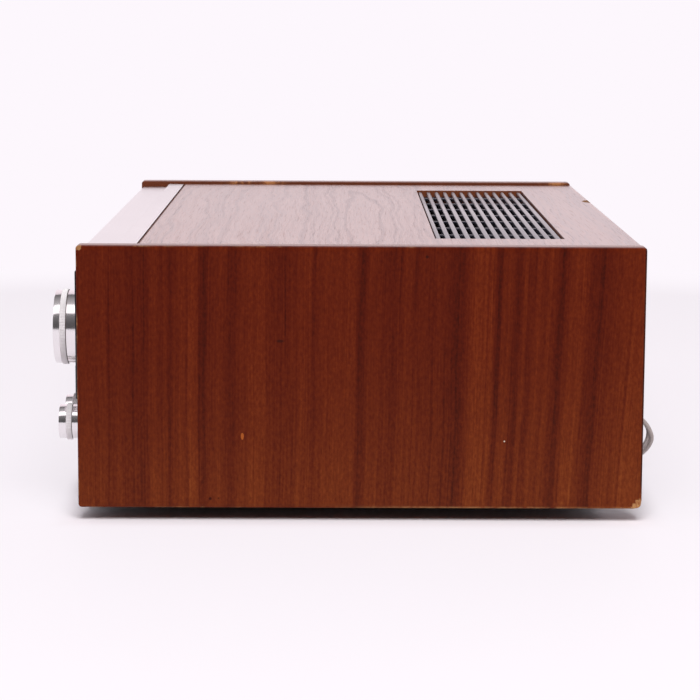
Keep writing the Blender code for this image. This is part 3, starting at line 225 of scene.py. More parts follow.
def turned(profile, steps, at=(0, 0, 0), axis="Y"):
    # (radius, place along the axis) points, spun round the axis
    shape = bmesh.new()
    along = Vector((axis == "X", axis == "Y", axis == "Z"))
    across = Vector((0, 0, 1) if axis == "X" else (1, 0, 0))
    points = [shape.verts.new(across * radius + along * place) for radius, place in profile]
    geometry = points + [shape.edges.new(pair) for pair in zip(points, points[1:])]
    turn = {"axis": along, "cent": (0, 0, 0), "angle": math.tau, "steps": steps, "use_merge": True}
    bmesh.ops.spin(shape, geom=geometry, **turn)
    bmesh.ops.remove_doubles(shape, verts=shape.verts, dist=0.000001)
    bmesh.ops.recalc_face_normals(shape, faces=shape.faces)
    return shifted(shape, at)


def rod(radius, low, high, steps, at=(0, 0, 0), axis="Y", chamfer=0.0):
    if chamfer:
        profile = [(0, low), (radius - chamfer, low), (radius, low + chamfer)]
        profile += [(radius, high - chamfer), (radius - chamfer, high), (0, high)]
    else:
        profile = [(0, low), (radius, low), (radius, high), (0, high)]
    return turned(profile, steps, at, axis)


def together(shapes):
    whole = bmesh.new()
    for shape in shapes:
        carrier = bpy.data.meshes.new("carrier")
        shape.to_mesh(carrier)
        shape.free()
        whole.from_mesh(carrier)
        bpy.data.meshes.remove(carrier)
    return whole


def shifted(shape, by):
    bmesh.ops.translate(shape, vec=by, verts=shape.verts)
    return shape


def rotated(shape, angle, axis):
    turn = Matrix.Rotation(angle, 3, axis)
    bmesh.ops.rotate(shape, cent=(0, 0, 0), matrix=turn, verts=shape.verts)
    return shape


def knurled(shape, centre, ridges, depth, chosen):
    # ridges round an axis along the depth, on the points that a test of radius and place picks
    for vert in shape.verts:
        offset = vert.co - centre
        radius = math.hypot(offset.x, offset.z)
        if chosen(radius, vert.co.y):
            cut = depth * (0.5 - 0.5 * math.cos(math.atan2(offset.z, offset.x) * ridges))
            vert.co.x -= offset.x / radius * cut
            vert.co.z -= offset.z / radius * cut


def hub(node):
    # the middle of a node across the front, with no place along the depth
    low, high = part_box(node)
    return Vector(((low.x + high.x) / 2, 0, (low.z + high.z) / 2))


def outward(angle, reach):
    return Vector((reach * math.sin(angle), 0, reach * math.cos(angle)))


def dash(half, inner, outer, angle, at):
    # a printed line on the front that points outward from a centre
    return shifted(rotated(block((-half, -hair, inner), (half, hair, outer)), angle, "Y"), at)


def lettering(text, size, at):
    # flat text that faces the front, its middle at the given place
    curve = bpy.data.curves.new("lettering", "FONT")
    curve.body = text
    curve.size = size
    curve.align_x = "CENTER"
    curve.align_y = "CENTER"
    curve.extrude = hair
    curve.resolution_u = 3
    holder = bpy.data.objects.new("lettering", curve)
    scene.collection.objects.link(holder)
    bpy.context.view_layer.update()
    settled = holder.evaluated_get(bpy.context.evaluated_depsgraph_get())
    mesh = bpy.data.meshes.new_from_object(settled)
    shape = bmesh.new()
    shape.from_mesh(mesh)
    bpy.data.objects.remove(holder)
    bpy.data.meshes.remove(mesh)
    bpy.data.curves.remove(curve)
    return shifted(rotated(shape, math.pi / 2, "X"), at)


def meshOf(name, shape, paint):
    mesh = bpy.data.meshes.new(name)
    shape.to_mesh(mesh)
    shape.free()
    mesh.materials.append(paint)
    return mesh


def piece(name, shape, paint, replaces=(), body="receiver", smooth=True):
    mesh = meshOf(name, shape, paint)
    if smooth:
        mesh.shade_smooth()
        mesh.set_sharp_from_angle(angle=sharpEdge)
    made = bpy.data.objects.new(name, mesh)
    scene.collection.objects.link(made)
    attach(made, body)
    if replaces:
        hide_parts(*replaces)
    return made


def repaint(paint, *names):
    for name in names:
        materials = nodes[name].data.materials
        if len(materials):
            materials[0] = paint
        else:
            materials.append(paint)


# Studio

studio = {
    "cameraPlace": (1.63864, -0.00467, 0.30795),
    "cameraLens": 124.90,
    "cameraTurn": -0.298,           # degrees away from looking along -X
    "cameraDrop": 8.42,
    "cameraRoll": 0.272,
    "backdrop": tone(253, 247, 253),
    "floorTone": tone(249, 244, 249),
    "floorShade": tone(243, 238, 243),
    "floorReach": 6.0,
    "floorFade": (0.55, 1.1),
    "floorGlow": 0.7,               # share of the backdrop's white that the floor glows with round the cabinet, painted light that lifts the cabinet's shadow there
    "glowReach": 0.02,
    "lampPlace": (1.60, 0.10, 1.9),
    "lampSize": 1.3,
    "lampPower": 46.0,
    "fillFrom": (-1.0, 0.1, 0.2),   # weak light from low on the left, for the far side
    "fillSpread": 0.8,
    "fillPower": 0.8,
    "roomLight": 0.5,               # share of the strips that lights matt surfaces
    "strips": [                     # degrees round the depth axis, and brightness
        (-180, 1.05), (-2.5, 0.95), (-1.0, 0.07), (20, 0.12), (46, 0.22), (49, 0.26), (50.5, 1.7),
        (79, 1.7), (81, 0.55), (110, 0.30), (127, 0.12), (129, 0.12), (131, 0.9), (150, 1.05),
        (180, 1.05),
    ],
    "backdropFrom": 129,
    "backdropGreen": 0.885,
    "roomGreen": 0.95,
}


def makeCamera():
    camera = bpy.data.cameras.new("camera")
    camera.lens = studio["cameraLens"]
    camera.sensor_width = 36.0
    camera.clip_start = 0.05
    camera.clip_end = 50.0
    holder = bpy.data.objects.new("camera", camera)
    scene.collection.objects.link(holder)
    heading = Matrix.Rotation(math.radians(90 + studio["cameraTurn"]), 4, "Z")
    pitch = Matrix.Rotation(math.radians(90 - studio["cameraDrop"]), 4, "X")
    roll = Matrix.Rotation(math.radians(studio["cameraRoll"]), 4, "Z")
    holder.matrix_world = Matrix.Translation(studio["cameraPlace"]) @ heading @ pitch @ roll
    scene.camera = holder


def makeWorld():
    # strips that run along the cabinet's depth: dark room, soft box, ceiling and pale backdrop
    world = bpy.data.worlds.new("studio")
    scene.world = world
    paint = Paint("studio", world)
    across, _, up = paint.axes(paint.node("ShaderNodeTexCoord", output="Generated"))
    angle = up.maths("ARCTAN2", up, across) / math.tau + 0.5
    stops = []
    for degrees, value in studio["strips"]:
        onBackdrop = abs(degrees) > studio["backdropFrom"]
        green = studio["backdropGreen"] if onBackdrop else studio["roomGreen"]
        stops.append((degrees / 360 + 0.5, (value, value * green, value * (green + 1) / 2, 1.0)))
    hidden = paint.ray("Camera").most(paint.ray("Transmission"))
    colour = paint.mix(hidden, paint.ramp(angle, stops), studio["backdrop"])
    background = paint.tree.nodes["Background"]
    paint.feed(background.inputs["Color"], colour)
    paint.feed(background.inputs["Strength"], 1 - paint.ray("Diffuse") * (1 - studio["roomLight"]))


def makeLight(name, kind, away, place=(0, 0, 0), **settings):
    # a light that shines along the line from "away" to the origin
    light = bpy.data.lights.new(name, kind)
    for key, value in settings.items():
        setattr(light, key, value)
    lamp = bpy.data.objects.new(name, light)
    lamp.location = place
    lamp.rotation_euler = Vector(away).to_track_quat("Z", "Y").to_euler()
    lamp.visible_glossy = False
    scene.collection.objects.link(lamp)


def makeLights():
    place, size, power = studio["lampPlace"], studio["lampSize"], studio["lampPower"]
    makeLight("softLight", "AREA", place, place, shape="SQUARE", size=size, energy=power)
    spread, power = studio["fillSpread"], studio["fillPower"]
    makeLight("fillLight", "SUN", studio["fillFrom"], angle=spread, energy=power)


def floorPaint():
    paint, place, x, y, _ = painting("floor")
    shade = paint.noise(place, 1.3).between(0.35, 0.75)
    colour = paint.mix(shade * 0.25, studio["floorTone"], studio["floorShade"])
    paint.finish(Base_Color=colour, Roughness=0.6, Specular_IOR_Level=0.2)
    low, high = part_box("side_panel_right")
    # painted light: outside the cabinet's outline the floor glows with the backdrop's white for
    # camera and glossy rays, lifting the cabinet's shadow; under the cabinet it stays dark
    outside = (abs(x) - high.x).most(abs(y - (high.y + low.y) / 2) - (high.y - low.y) / 2)
    near = outside.between(0, studio["glowReach"]) * studio["floorGlow"]
    far = paint.measure("LENGTH", place).between(*studio["floorFade"]).most(near)
    glow = paint.node("ShaderNodeEmission", inputs={"Color": studio["backdrop"]})
    share = far * paint.ray("Camera").most(paint.ray("Glossy"))
    lit = Wire(paint, paint.shader.outputs[0])
    blend = paint.node("ShaderNodeMixShader", inputs=[share, lit, glow])
    paint.feed(paint.tree.nodes["Material Output"].inputs["Surface"], blend)
    return paint.owner


def makeFloor():
    shape = bmesh.new()
    bmesh.ops.create_grid(shape, x_segments=4, y_segments=4, size=studio["floorReach"])
    floor = bpy.data.objects.new("floor", meshOf("floor", shape, floorPaint()))
    scene.collection.objects.link(floor)


scene.view_settings.view_transform = "Standard"
makeCamera()
makeWorld()
makeLights()
makeFloor()
print("studio: camera, lights and floor are set")


# Mains cord: two round cores side by side, from the strain relief to the plug

cord = {
    "width": 0.0056,
    "thickness": 0.0029,
    "sideSteps": 9,                 # points round each core
    "opening": math.radians(34),    # where the web leaves each core
    "step": 0.0022,
    "floorGap": 0.0001,
    "clearance": 0.0003,
    "coilRadius": 0.040,
    "turnPitch": 0.0046,
    "layerPitch": 0.0063,
    "loops": 6.25,
    "loopPoints": 96,
    "coilGap": 0.0045,
    "coilLift": 0.001,
    "coilLine": 0.187,
    "tailLength": 0.055,
    "tailPoints": 24,
    "drop": [                       # place, then the direction of the wide side
        (0.0898, 0.1896, 0.0362, 1, 0.02, 0),
        (0.0894, 0.1945, 0.0320, 1, 0.08, -0.05),
        (0.0886, 0.1976, 0.0268, 0.95, 0.25, -0.12),
        (0.0871, 0.1984, 0.0212, 0.5, 0.85, -0.3),
        (0.0847, 0.1966, 0.0158, 0.12, 0.85, -0.5),
        (0.0812, 0.1932, 0.0110, 0, 0.85, -0.5),
        (0.0762, 0.1893, 0.0070, 0, 0.93, -0.35),
        (0.0695, 0.1858, 0.0040, 0, 0.98, -0.2),
        (0.0600, 0.1832, 0.0021, 0, 1, -0.1),
    ],
    "run": [                        # places on the floor
        (0.0490, 0.1822), (0.0250, 0.1826), (-0.0100, 0.1862), (-0.0550, 0.1885),
        (-0.1000, 0.1855), (-0.1450, 0.1828), (-0.1850, 0.1836),
    ],
    "riseFrom": (-0.2150, 0.1855),
    "riseTo": -0.2400,
}


def smoothRoute(stations, step):
    first, last = stations[0] * 2 - stations[1], stations[-1] * 2 - stations[-2]
    ends = [first] + stations + [last]
    route = [stations[0]]
    for before, start, end, after in zip(ends, ends[1:], ends[2:], ends[3:]):
        parts = max(1, round((Vector(end[:3]) - Vector(start[:3])).length / step))
        square = before * 2 - start * 5 + end * 4 - after
        cube = start * 3 - before - end * 3 + after
        for index in range(1, parts + 1):
            t = index / parts
            bent = square * t**2 + cube * t**3
            route.append((start * 2 + (end - before) * t + bent) / 2)
    return route


def cordLine():
    # the line of the whole cord, and the direction of its wide side at each point
    width, thickness, line = cord["width"], cord["thickness"], cord["coilLine"]
    lift = cord["coilLift"]
    relief = hub("cord_strain_relief")
    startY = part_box("cord_strain_relief")[1].y + cord["clearance"]
    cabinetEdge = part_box("side_panel_left")[0].x
    centreX = cabinetEdge - cord["coilGap"] - cord["coilRadius"] - thickness / 2
    centreY = line - cord["coilRadius"]
    level = lift + width / 2
    low = thickness / 2 + cord["floorGap"]
    stations = [(relief.x, startY + out, relief.z, 1, 0, 0) for out in (0, width)]
    stations += cord["drop"] + [(*spot, low, 0, 1, 0) for spot in cord["run"]]
    stations.append((*cord["riseFrom"], low + lift / 2, 0, 0.9, 0.35))
    stations.append((cord["riseTo"], line - thickness / 6, level - lift / 2, 0, 0.55, 0.8))
    for widths, lean in ((3, 0.1), (2, 0), (1, 0)):
        stations.append((centreX + widths * width, line, level, 0, lean, 1))
    route = smoothRoute([Vector(station) for station in stations], cord["step"])
    points = [Vector(place[:3]) for place in route]
    wide = [Vector(place[3:]) for place in route]
    reverse = (cord["loops"] - 1 / 2) / 2
    upright = Vector((0, 0, 1))
    flat = Vector((1, 0, 0))
    for index in range(round(cord["loops"] * cord["loopPoints"]) + 1):
        turns = index / cord["loopPoints"]
        inward = min(turns, reverse) - max(0, turns - reverse - 1 / 2)
        climbed = min(1, max(0, (turns - reverse) * 2))
        angle = math.pi / 2 + turns * math.tau
        radius = cord["coilRadius"] - cord["turnPitch"] * inward
        spot = (centreX + radius * math.cos(angle), centreY + radius * math.sin(angle))
        points.append(Vector((*spot, level + cord["layerPitch"] * climbed)))
        wide.append(upright)
    start = points[-1]
    plugLevel = sum(corner.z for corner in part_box("power_plug")) / 2
    for index in range(1, cord["tailPoints"] + 1):
        share = index / cord["tailPoints"]
        eased = share * share * (3 - 2 * share)
        height = start.z + (plugLevel - start.z) * eased
        points.append(Vector((start.x, start.y - cord["tailLength"] * share, height)))
        wide.append(upright.lerp(flat, eased))
    points.append(points[-1] - Vector((0, width, 0)))
    wide.append(flat)
    return points, wide


def cordSection():
    # the outline of two cores and the web between them, as (wide, thin) places
    core = cord["thickness"] / 2
    middle = cord["width"] / 2 - core
    steps, opening = cord["sideSteps"], cord["opening"]
    angles = [opening - math.pi + (math.tau - 2 * opening) * n / steps for n in range(steps + 1)]
    right = [(middle + core * math.cos(angle), core * math.sin(angle)) for angle in angles]
    return right + [(-wide, -thin) for wide, thin in right]


def cordPaint():
    paint = Paint("cordVinyl")
    mottle = paint.speckle(900, 3)
    rub = paint.speckle(60).between(0.45, 0.75)
    colour = paint.mix(mottle, tone(170, 156, 150), tone(194, 183, 179))
    colour = paint.mix(rub * 0.35, colour, tone(212, 206, 208))
    paint.bump(mottle, 0.12, 0.0002)
    return paint.finish(Base_Color=colour, Roughness=0.3 + rub * 0.15, Coat_Weight=0.15)


def makeCord():
    points, wide = cordLine()
    section = cordSection()
    shape = bmesh.new()
    ring = [shape.verts.new((0, 0, 0)) for _ in section]
    edges = [shape.edges.new((ring[index - 1], ring[index])) for index in range(len(ring))]
    first = ring
    runs = [(end - start).normalized() for start, end in zip(points, points[1:])]
    bends = [(a + b).normalized() for a, b in zip(runs, runs[1:])]
    tangents = [runs[0]] + bends + [runs[-1]]
    for index, (point, along, side) in enumerate(zip(points, tangents, wide)):
        if index:
            grown = bmesh.ops.extrude_edge_only(shape, edges=edges)["geom"]
            edges = [item for item in grown if isinstance(item, bmesh.types.BMEdge)]
            fresh = {item for item in grown if isinstance(item, bmesh.types.BMVert)}
            near = [[edge.other_vert(vert) for edge in vert.link_edges] for vert in ring]
            ring = [next(vert for vert in around if vert in fresh) for around in near]
        across = (side - along * side.dot(along)).normalized()
        over = along.cross(across)
        for vert, (u, v) in zip(ring, section):
            vert.co = point + across * u + over * v
    for end in (first, ring):
        bmesh.ops.contextual_create(shape, geom=end)
    bmesh.ops.recalc_face_normals(shape, faces=shape.faces)
    replaced = ("power_cord", "cord_coil")
    made = piece("mains_cord", shape, cordPaint(), replaced)
    length = sum((end - start).length for start, end in zip(points, points[1:]))
    return made, points, length


mainsCord, cordPoints, cordLength = makeCord()
print(f"cord: {cordLength:.3f} m long")


# Wood

walnut = {
    "pale": tone(132, 57, 22),
    "main": tone(108, 40, 15),
    "red": tone(91, 29, 12),
    "deep": tone(56, 17, 9),
    "worn": tone(196, 150, 98),
    "crumbled": tone(150, 92, 56),
    "speck": tone(35, 15, 12),
    "cool": (0.72, 0.62, 0.68, 1),  # painted shading: factors on the colour, darker at the top and lighter at the bottom
    "warm": (1.08, 1.50, 1.66, 1),
    "lean": 0.055,                  # how far the streaks lean on their way down, at the rear
    "grazeCoat": 0.95,
    "edgeWidth": 0.0011,
    "rubbed": [(-0.068, 0.030), (0.160, 0.014)],    # place and reach of worn inner top edges
    "knot": (-0.0379, 0.1067),
    "knotSquash": 0.38,
    "chip": (-0.0600, 0.0506),
    "chipSquash": 0.42,
    "topChip": -0.088,
    "corners": [                    # place up to the hand, radius, strength
        (0.174, 0.008, 0.0092, 1.0), (-0.156, 0.162, 0.0050, 0.55),
    ],
}
walnut["marks"] = [                 # place on the outer face, radius, colour, strength
    (0.0929, 0.0481, 0.0006, tone(225, 215, 195), 0.9),
    (0.0469, 0.1561, 0.0012, walnut["speck"], 0.8),
    (-0.0788, 0.0134, 0.0012, walnut["speck"], 0.8),
    (-0.0740, 0.0137, 0.0008, walnut["speck"], 0.6),
]

# dark and pale streaks of the right-hand veneer: share of the depth, and how dark
frontStreaks = [
    (0.000, 0.50), (0.052, 0.52), (0.090, 0.66), (0.116, 0.74), (0.132, 0.42), (0.152, 0.44),
    (0.163, 0.78), (0.178, 0.40), (0.212, 0.36), (0.225, 0.70), (0.254, 0.46), (0.276, 0.84),
    (0.292, 0.48), (0.330, 0.36), (0.347, 0.62), (0.390, 0.60), (0.398, 0.26), (0.412, 0.26),
    (0.421, 0.74), (0.440, 0.44), (0.496, 0.46), (0.503, 0.94), (0.510, 0.94), (0.519, 0.50),
    (0.545, 0.54), (0.557, 0.74), (0.580, 0.50),
]
rearStreaks = [
    (0.640, 0.58), (0.664, 0.70), (0.684, 0.78), (0.704, 0.36), (0.735, 0.28), (0.743, 0.84),
    (0.754, 0.50), (0.768, 0.46), (0.780, 0.78), (0.793, 0.42), (0.803, 0.70), (0.814, 0.38),
    (0.829, 0.58), (0.836, 0.42), (0.859, 0.86), (0.876, 0.36), (0.893, 0.34), (0.904, 0.64),
    (0.926, 0.84), (0.933, 0.44), (0.942, 0.66), (0.952, 0.42), (0.975, 0.38),
]


def sideGrain(paint, name, x, y, z):
    # colour of upright grain, its fine lines and its pores, with painted shading from top to bottom
    low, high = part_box(name)
    size = high - low
    right = high.x > 0
    lean = (high.z - z) * (y - low.y) * (walnut["lean"] / size.y)
    sway = paint.grain(y * 9, z * 6, 0.4 if right else -0.4)
    grain = y + ((sway - 0.5) * 0.006 + lean)
    across = (grain - low.y) / size.y
    if not right:
        across = 1 - across
    front = paint.axes(paint.ramp(across, frontStreaks))[0]
    rear = paint.axes(paint.ramp(across, rearStreaks))[0]
    half = across.between(0.60, 0.62)
    streaks = front * (1 - half) + (rear * 1.3 - 0.16) * half
    bands = paint.grain(grain * 150, z * 1.8, 3.1, 4, 0.72)
    fine = paint.grain(grain * 900, z * 24, x * 40, 3, 0.65)
    hairs = paint.grain(grain * 1500, z * 7, 5.7)
    lines = paint.grain(grain * 300, z * 2.2, 7.7).between(0.56, 0.66)
    flecks = paint.grain(y * 700, z * 380, x * 60, 2, 0.6)
    dark = streaks * 0.66 + lines * 0.16 + 0.11
    for layer, share in ((bands, 0.50), (fine, 0.42), (hairs, 0.26), (flecks, 0.66)):
        dark = dark + (layer - 0.5) * share
    tones = zip((0, 0.34, 0.62, 1), [walnut[key] for key in ("pale", "main", "red", "deep")])
    colour = paint.ramp(dark, list(tones))
    # painted shading: darker towards the top, lighter towards the bottom and a little lighter
    # towards the rear
    down = (high.z - z) / size.z
    shadingDrift = (down * (down * 0.6 + 0.15) + across * 0.08).between(0, 1)
    cool, warm = [paint.mix(1.0, colour, walnut[end], "MULTIPLY") for end in ("cool", "warm")]
    pores = paint.grain(y * 2200, z * 90, x * 900, 2, 0.6).between(0.60, 0.74)
    colour = paint.mix(pores * 0.35, paint.mix(shadingDrift, cool, warm), walnut["deep"])
    return colour, across, fine, pores


def rightMarks(paint, colour, place, y, z, outerX):
    # the knot, the chip and the small marks that only the right side has
    squash = walnut["knotSquash"]
    knotY, knotZ = walnut["knot"]
    knot = paint.spot((0, knotY * squash, knotZ), 0.0012, paint.vector(0, y * squash, z))
    colour = paint.mix(knot * 0.75, colour, tone(44, 17, 11))
    squash = walnut["chipSquash"]
    chipY, chipZ = walnut["chip"]
    chip = paint.spot((0, chipY, chipZ * squash), 0.0011, paint.vector(0, y, z * squash))
    ragged = (chip * 1.4 + (paint.noise(place, 900) - 0.5) * 1.6 - 0.2).between(0, 0.6)
    colour = paint.mix(ragged * chip.between(0, 0.3) * 0.75, colour, tone(176, 94, 40))
    for markY, markZ, radius, stain, strength in walnut["marks"]:
        mark = paint.spot((outerX, markY, markZ), radius, place)
        colour = paint.mix(mark * strength, colour, stain)
    return colour


def sidePaint(side):
    # upright grain on the outer face, worn along the edges
    low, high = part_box(f"side_panel_{side}")
    right = side == "right"
    hand = 1 if right else -1
    outerX, innerX = (high.x, low.x) if right else (-low.x, -high.x)
    paint, place, x, y, z = painting(f"walnut_{side}")
    reach = x * hand
    colour, across, fine, pores = sideGrain(paint, f"side_panel_{side}", x, y, z)
    if right:
        colour = rightMarks(paint, colour, place, y, z, outerX)
    inside = (reach - outerX + 0.0022).between(0.0006, 0)
    colour = paint.mix(inside * 0.7, colour, tone(112, 64, 44))
    tan = paint.grain(y * 130, 0.3, hand * 1.0, 3, 0.6).between(0.40, 0.60)
    tan = tan * paint.noise(place, 240, 3, 0.6).between(0.34, 0.56)
    quarter = paint.vector(0, y / 4, 0)
    front, rear = [paint.spot((0, at / 4, 0), wide / 4, quarter) for at, wide in walnut["rubbed"]]
    brink = (reach - innerX).between(0.0046, 0.0014) * (z - high.z).between(-0.004, -0.0026)
    rubbed = inside * brink * tan * front.most(rear) * (0.3 if right else 0.72)
    colour = paint.mix(rubbed, colour, tone(198, 134, 84))
    edge = (z - low.z).least(high.z - z).least(y - low.y).least(high.y - y)
    outer = (reach - (outerX - 0.0016)).between(0, 0.001)
    scrape = paint.noise(place, 170, 3, 0.6)
    patches = paint.noise(place, 32).between(0.50, 0.64) * outer
    worn = edge.between(walnut["edgeWidth"], 0.0002) * scrape.between(0.40, 0.62) * patches * 0.6
    floorLine = (z - low.z).between(0.0016, 0.0004) * across.between(0.42, 0.60)
    worn = worn.most(floorLine * outer * scrape.between(0.30, 0.55) * 0.55)
    crumb = paint.noise(place, 520, 3, 0.6)
    for cornerY, cornerZ, radius, strength in walnut["corners"]:
        corner = paint.spot((hand * outerX, cornerY, cornerZ), radius, place)
        ragged = corner * 1.3 + (scrape - 0.5) * 0.9 + (crumb - 0.5) * 1.5 - 0.35
        worn = worn.most(ragged.between(0.05, 0.45) * corner.between(0, 0.2) * strength)
    bare = paint.mix(crumb.between(0.35, 0.6), walnut["crumbled"], walnut["worn"])
    colour = paint.mix(worn * 0.85, colour, bare)
    arris = (y - (high.y - 0.0014)).between(0, 0.0006) * (z - low.z).between(0.008, 0.016)
    colour = paint.mix(arris * outer * 0.8, colour, tone(46, 20, 14))
    capped = (z - (high.z - 0.0008)).between(0, 0.0004)
    paint.bump(fine * 0.6 + (1 - pores) * 0.5, 0.10, 0.0003)
    return paint.finish(
        Base_Color=colour,
        Roughness=0.34 + fine * 0.1 + worn * 0.2,
        Specular_IOR_Level=0.06,
        Coat_Weight=capped * 0.7,
        Coat_Roughness=0.3,
    )


def topPaint():
    # flat-sawn figure that runs along the width, open pores and a satin film
    low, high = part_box("top_panel")
    paint, place, x, y, z = painting("walnutTop")
    bend = paint.grain(x * 5, y * 22, 0, 3, 0.55)
    heart = 0.012                   # the figure's middle line
    inner = (((y - heart) * 9) ** 2 + (x * 0.38 - 0.01) ** 2) ** 0.5 + bend * 0.30
    rings = paint.grain(inner * 36, 0.3, 0.6, 3, 0.55).between(0.49, 0.66)
    tightRings = paint.grain(inner * 80, x * 3, 0.9, 3, 0.6)
    fine = paint.grain(x * 26, y * 800, 0.3, 3, 0.6)
    pores = paint.grain(x * 36, y * 1150, 1.7, 2, 0.6).between(0.56, 0.68)
    blotch = paint.noise(place, 14, 3, 0.6)
    dark = rings * 0.24 + (tightRings - 0.5) * 0.26 + fine * 0.46 + blotch * 0.22 + 0.02
    tones = [tone(150, 88, 54), tone(118, 62, 38), tone(88, 40, 26), tone(58, 25, 18)]
    colour = paint.ramp(dark, list(zip((0, 0.4, 0.75, 1), tones)))
    colour = paint.mix(pores * (0.2 + rings * 0.3), colour, tone(38, 17, 13))
    squash = walnut["chipSquash"]
    chipPlace = (walnut["topChip"] * squash, high.y, high.z)
    chip = paint.spot(chipPlace, 0.0062, paint.vector(x * squash, y, z))
    chipped = (chip + paint.noise(place, 260, 3) * 0.7 - 0.45).between(0.1, 0.4)
    sunk = (high.z - z).between(0.0004, 0.0010)
    # darker, rougher and without the film along the front edge of the top, next to the trim
    frontEdgeStrip = (y - low.y).between(0.0011, 0.0006)
    bare = [(chipped, tone(122, 80, 34)), (sunk, tone(118, 62, 36)), (frontEdgeStrip, tone(84, 44, 32))]
    for share, stain in bare:
        colour = paint.mix(share, colour, stain)
    strokes = paint.grain(x * 16, y * 760, 4.4, 3, 0.6).between(0.42, 0.72)
    figure = (1 - abs(y - 0.01) / 0.05).between(0, 0.4)
    threads = tightRings.between(0.50, 0.66)
    film = (1 - pores * 0.04) * (1 - strokes * 0.06) * (1 - threads * 0.19)
    film = film * (1 - rings * (0.10 + figure * 0.10))
    rearward = y.between(0.08, 0.15)
    film = film + (1 - film) * rearward * 0.7
    film = film * (1 - chipped) * (1 - frontEdgeStrip) * (1 - sunk)
    paint.bump(0.7 * (1 - pores * (0.4 + rings * 0.6)) + fine * 0.3, 0.10, 0.0003)
    return paint.finish(
        Base_Color=colour,
        Roughness=0.32 + blotch * 0.04 + pores * 0.12 + (sunk + frontEdgeStrip + chipped) * 0.4,
        Coat_Weight=film * (walnut["grazeCoat"] + rearward * 0.05),
        Coat_Roughness=0.26,
    )


panel = {
    "rounding": 0.0019, "edge": 0.0008, "chipDepth": 0.0012, "chipReach": 0.006,
    "frontCut": 0.004, "rearCut": 0.005, "lowCut": 0.005, "topCut": 0.004,
}


def makeSidePanels():
    for side, hand in (("right", 1), ("left", -1)):
        low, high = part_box(f"side_panel_{side}")
        shape = block(low, high)
        for y in (low.y + panel["frontCut"], high.y - panel["rearCut"]):
            sliced(shape, (0, y, 0), (0, 1, 0))
        for z in (low.z + panel["lowCut"], high.z - panel["topCut"]):
            sliced(shape, (0, 0, z), (0, 0, 1))
        outline = [edge for edge in shape.edges if edge.calc_face_angle(0) > 1]
        spans = [abs(edge.verts[0].co.x - edge.verts[1].co.x) for edge in outline]
        corners = [edge for edge, span in zip(outline, spans) if span > 0.001]
        rounded(shape, corners, panel["rounding"], 3)
        outline = [edge for edge in shape.edges if edge.calc_face_angle(0) > 1]
        rounded(shape, outline, panel["edge"], 3)
        chipped = Vector((high.x if hand > 0 else low.x, high.y, low.z))
        for vert in shape.verts:
            reach = (vert.co - chipped).length
            if reach < panel["chipReach"]:
                pull = (1 - reach / panel["chipReach"]) * panel["chipDepth"]
                vert.co += Vector((-hand, -1, 1)).normalized() * pull
        bmesh.ops.recalc_face_normals(shape, faces=shape.faces)
        name = f"veneered_side_{side}"
        piece(name, shape, sidePaint(side), (f"side_panel_{side}",))


makeSidePanels()
repaint(topPaint(), "top_panel")
print("wood: sides and top are veneered")


# Metal

def brushedPaint(name, colour, roughness, streak):
    # fine lines along the width
    paint, place, x, y, z = painting(name)
    lines = paint.grain(x * streak, y * 5200, z * 5200, 2, 0.6)
    shade = paint.mix(lines, tone(*[part - 16 for part in colour]), tone(*colour))
    paint.bump(lines, 0.05, 0.0001)
    roughness = roughness + lines * 0.08 + paint.noise(place, 22) * 0.06
    return paint.finish(Base_Color=shade, Roughness=roughness, Metallic=1.0)


aluminium = brushedPaint("aluminiumPanel", (247, 246, 246), 0.26, 60)
repaint(aluminium, "top_trim", "front_panel")


# Knobs

knobKinds = {
    "tuning": {
        "band": 0.0220, "ring": 0.0227, "frontBand": 0.0041, "ringWidth": 0.0034,
        "length": 0.0145, "groove": 0.0004, "rim": 0.0022, "drop": 0.0007, "ridges": 148,
        "knurl": 0.00028, "shaft": 0.0, "bore": 0.0033, "boreDepth": 0.0093, "dish": 0.0004,
    },
    "small": {
        "band": 0.01025, "ring": 0.01115, "frontBand": 0.0046, "ringWidth": 0.0032,
        "length": 0.0179, "groove": 0.0003, "rim": 0.0012, "drop": 0.0004, "ridges": 72,
        "knurl": 0.00026, "shaft": 0.003, "dish": 0.0002,
    },
}
knobEdge = 0.00022
knobChamfer = 0.0004


def turnedPaint():
    # lathe marks follow the radius and the length, which each turned piece stores
    paint = Paint("turnedAluminium")
    stored = paint.node("ShaderNodeAttribute", {"attribute_name": "turning"}, output="Vector")
    radius, along, zone = paint.axes(stored)
    ring = zone.between(0.3, 0.5)
    # painted shade in the knurl's valleys: a darker grey than the crests
    knurlShade = ring * (1 - zone.between(0.6, 1))
    # painted shade in the groove behind the ring: dark brown, less metallic and rougher
    grooveShade = zone.between(-0.2, -0.7)
    lathe = paint.grain(radius * 7000, along * 7000, 0, 2, 0.7)
    broad = paint.grain(radius * 500, along * 500, 0.7)
    colour = paint.mix(lathe, tone(228, 224, 225), tone(243, 240, 241))
    zones = [(ring, tone(254, 252, 252)), (knurlShade, tone(226, 218, 220)), (grooveShade, tone(96, 76, 68))]
    for share, shade in zones:
        colour = paint.mix(share, colour, shade)
    paint.bump(lathe * 0.7 + broad * 0.3, 0.05, 0.00008)
    gloss = 0.10 + lathe * 0.07 + broad * 0.04 + ring * 0.3 + grooveShade * 0.4
    metallic = (1 - ring) * (1 - grooveShade * 0.7)
    return paint.finish(Base_Color=colour, Roughness=gloss, Metallic=metallic)


turnedMetal = turnedPaint()


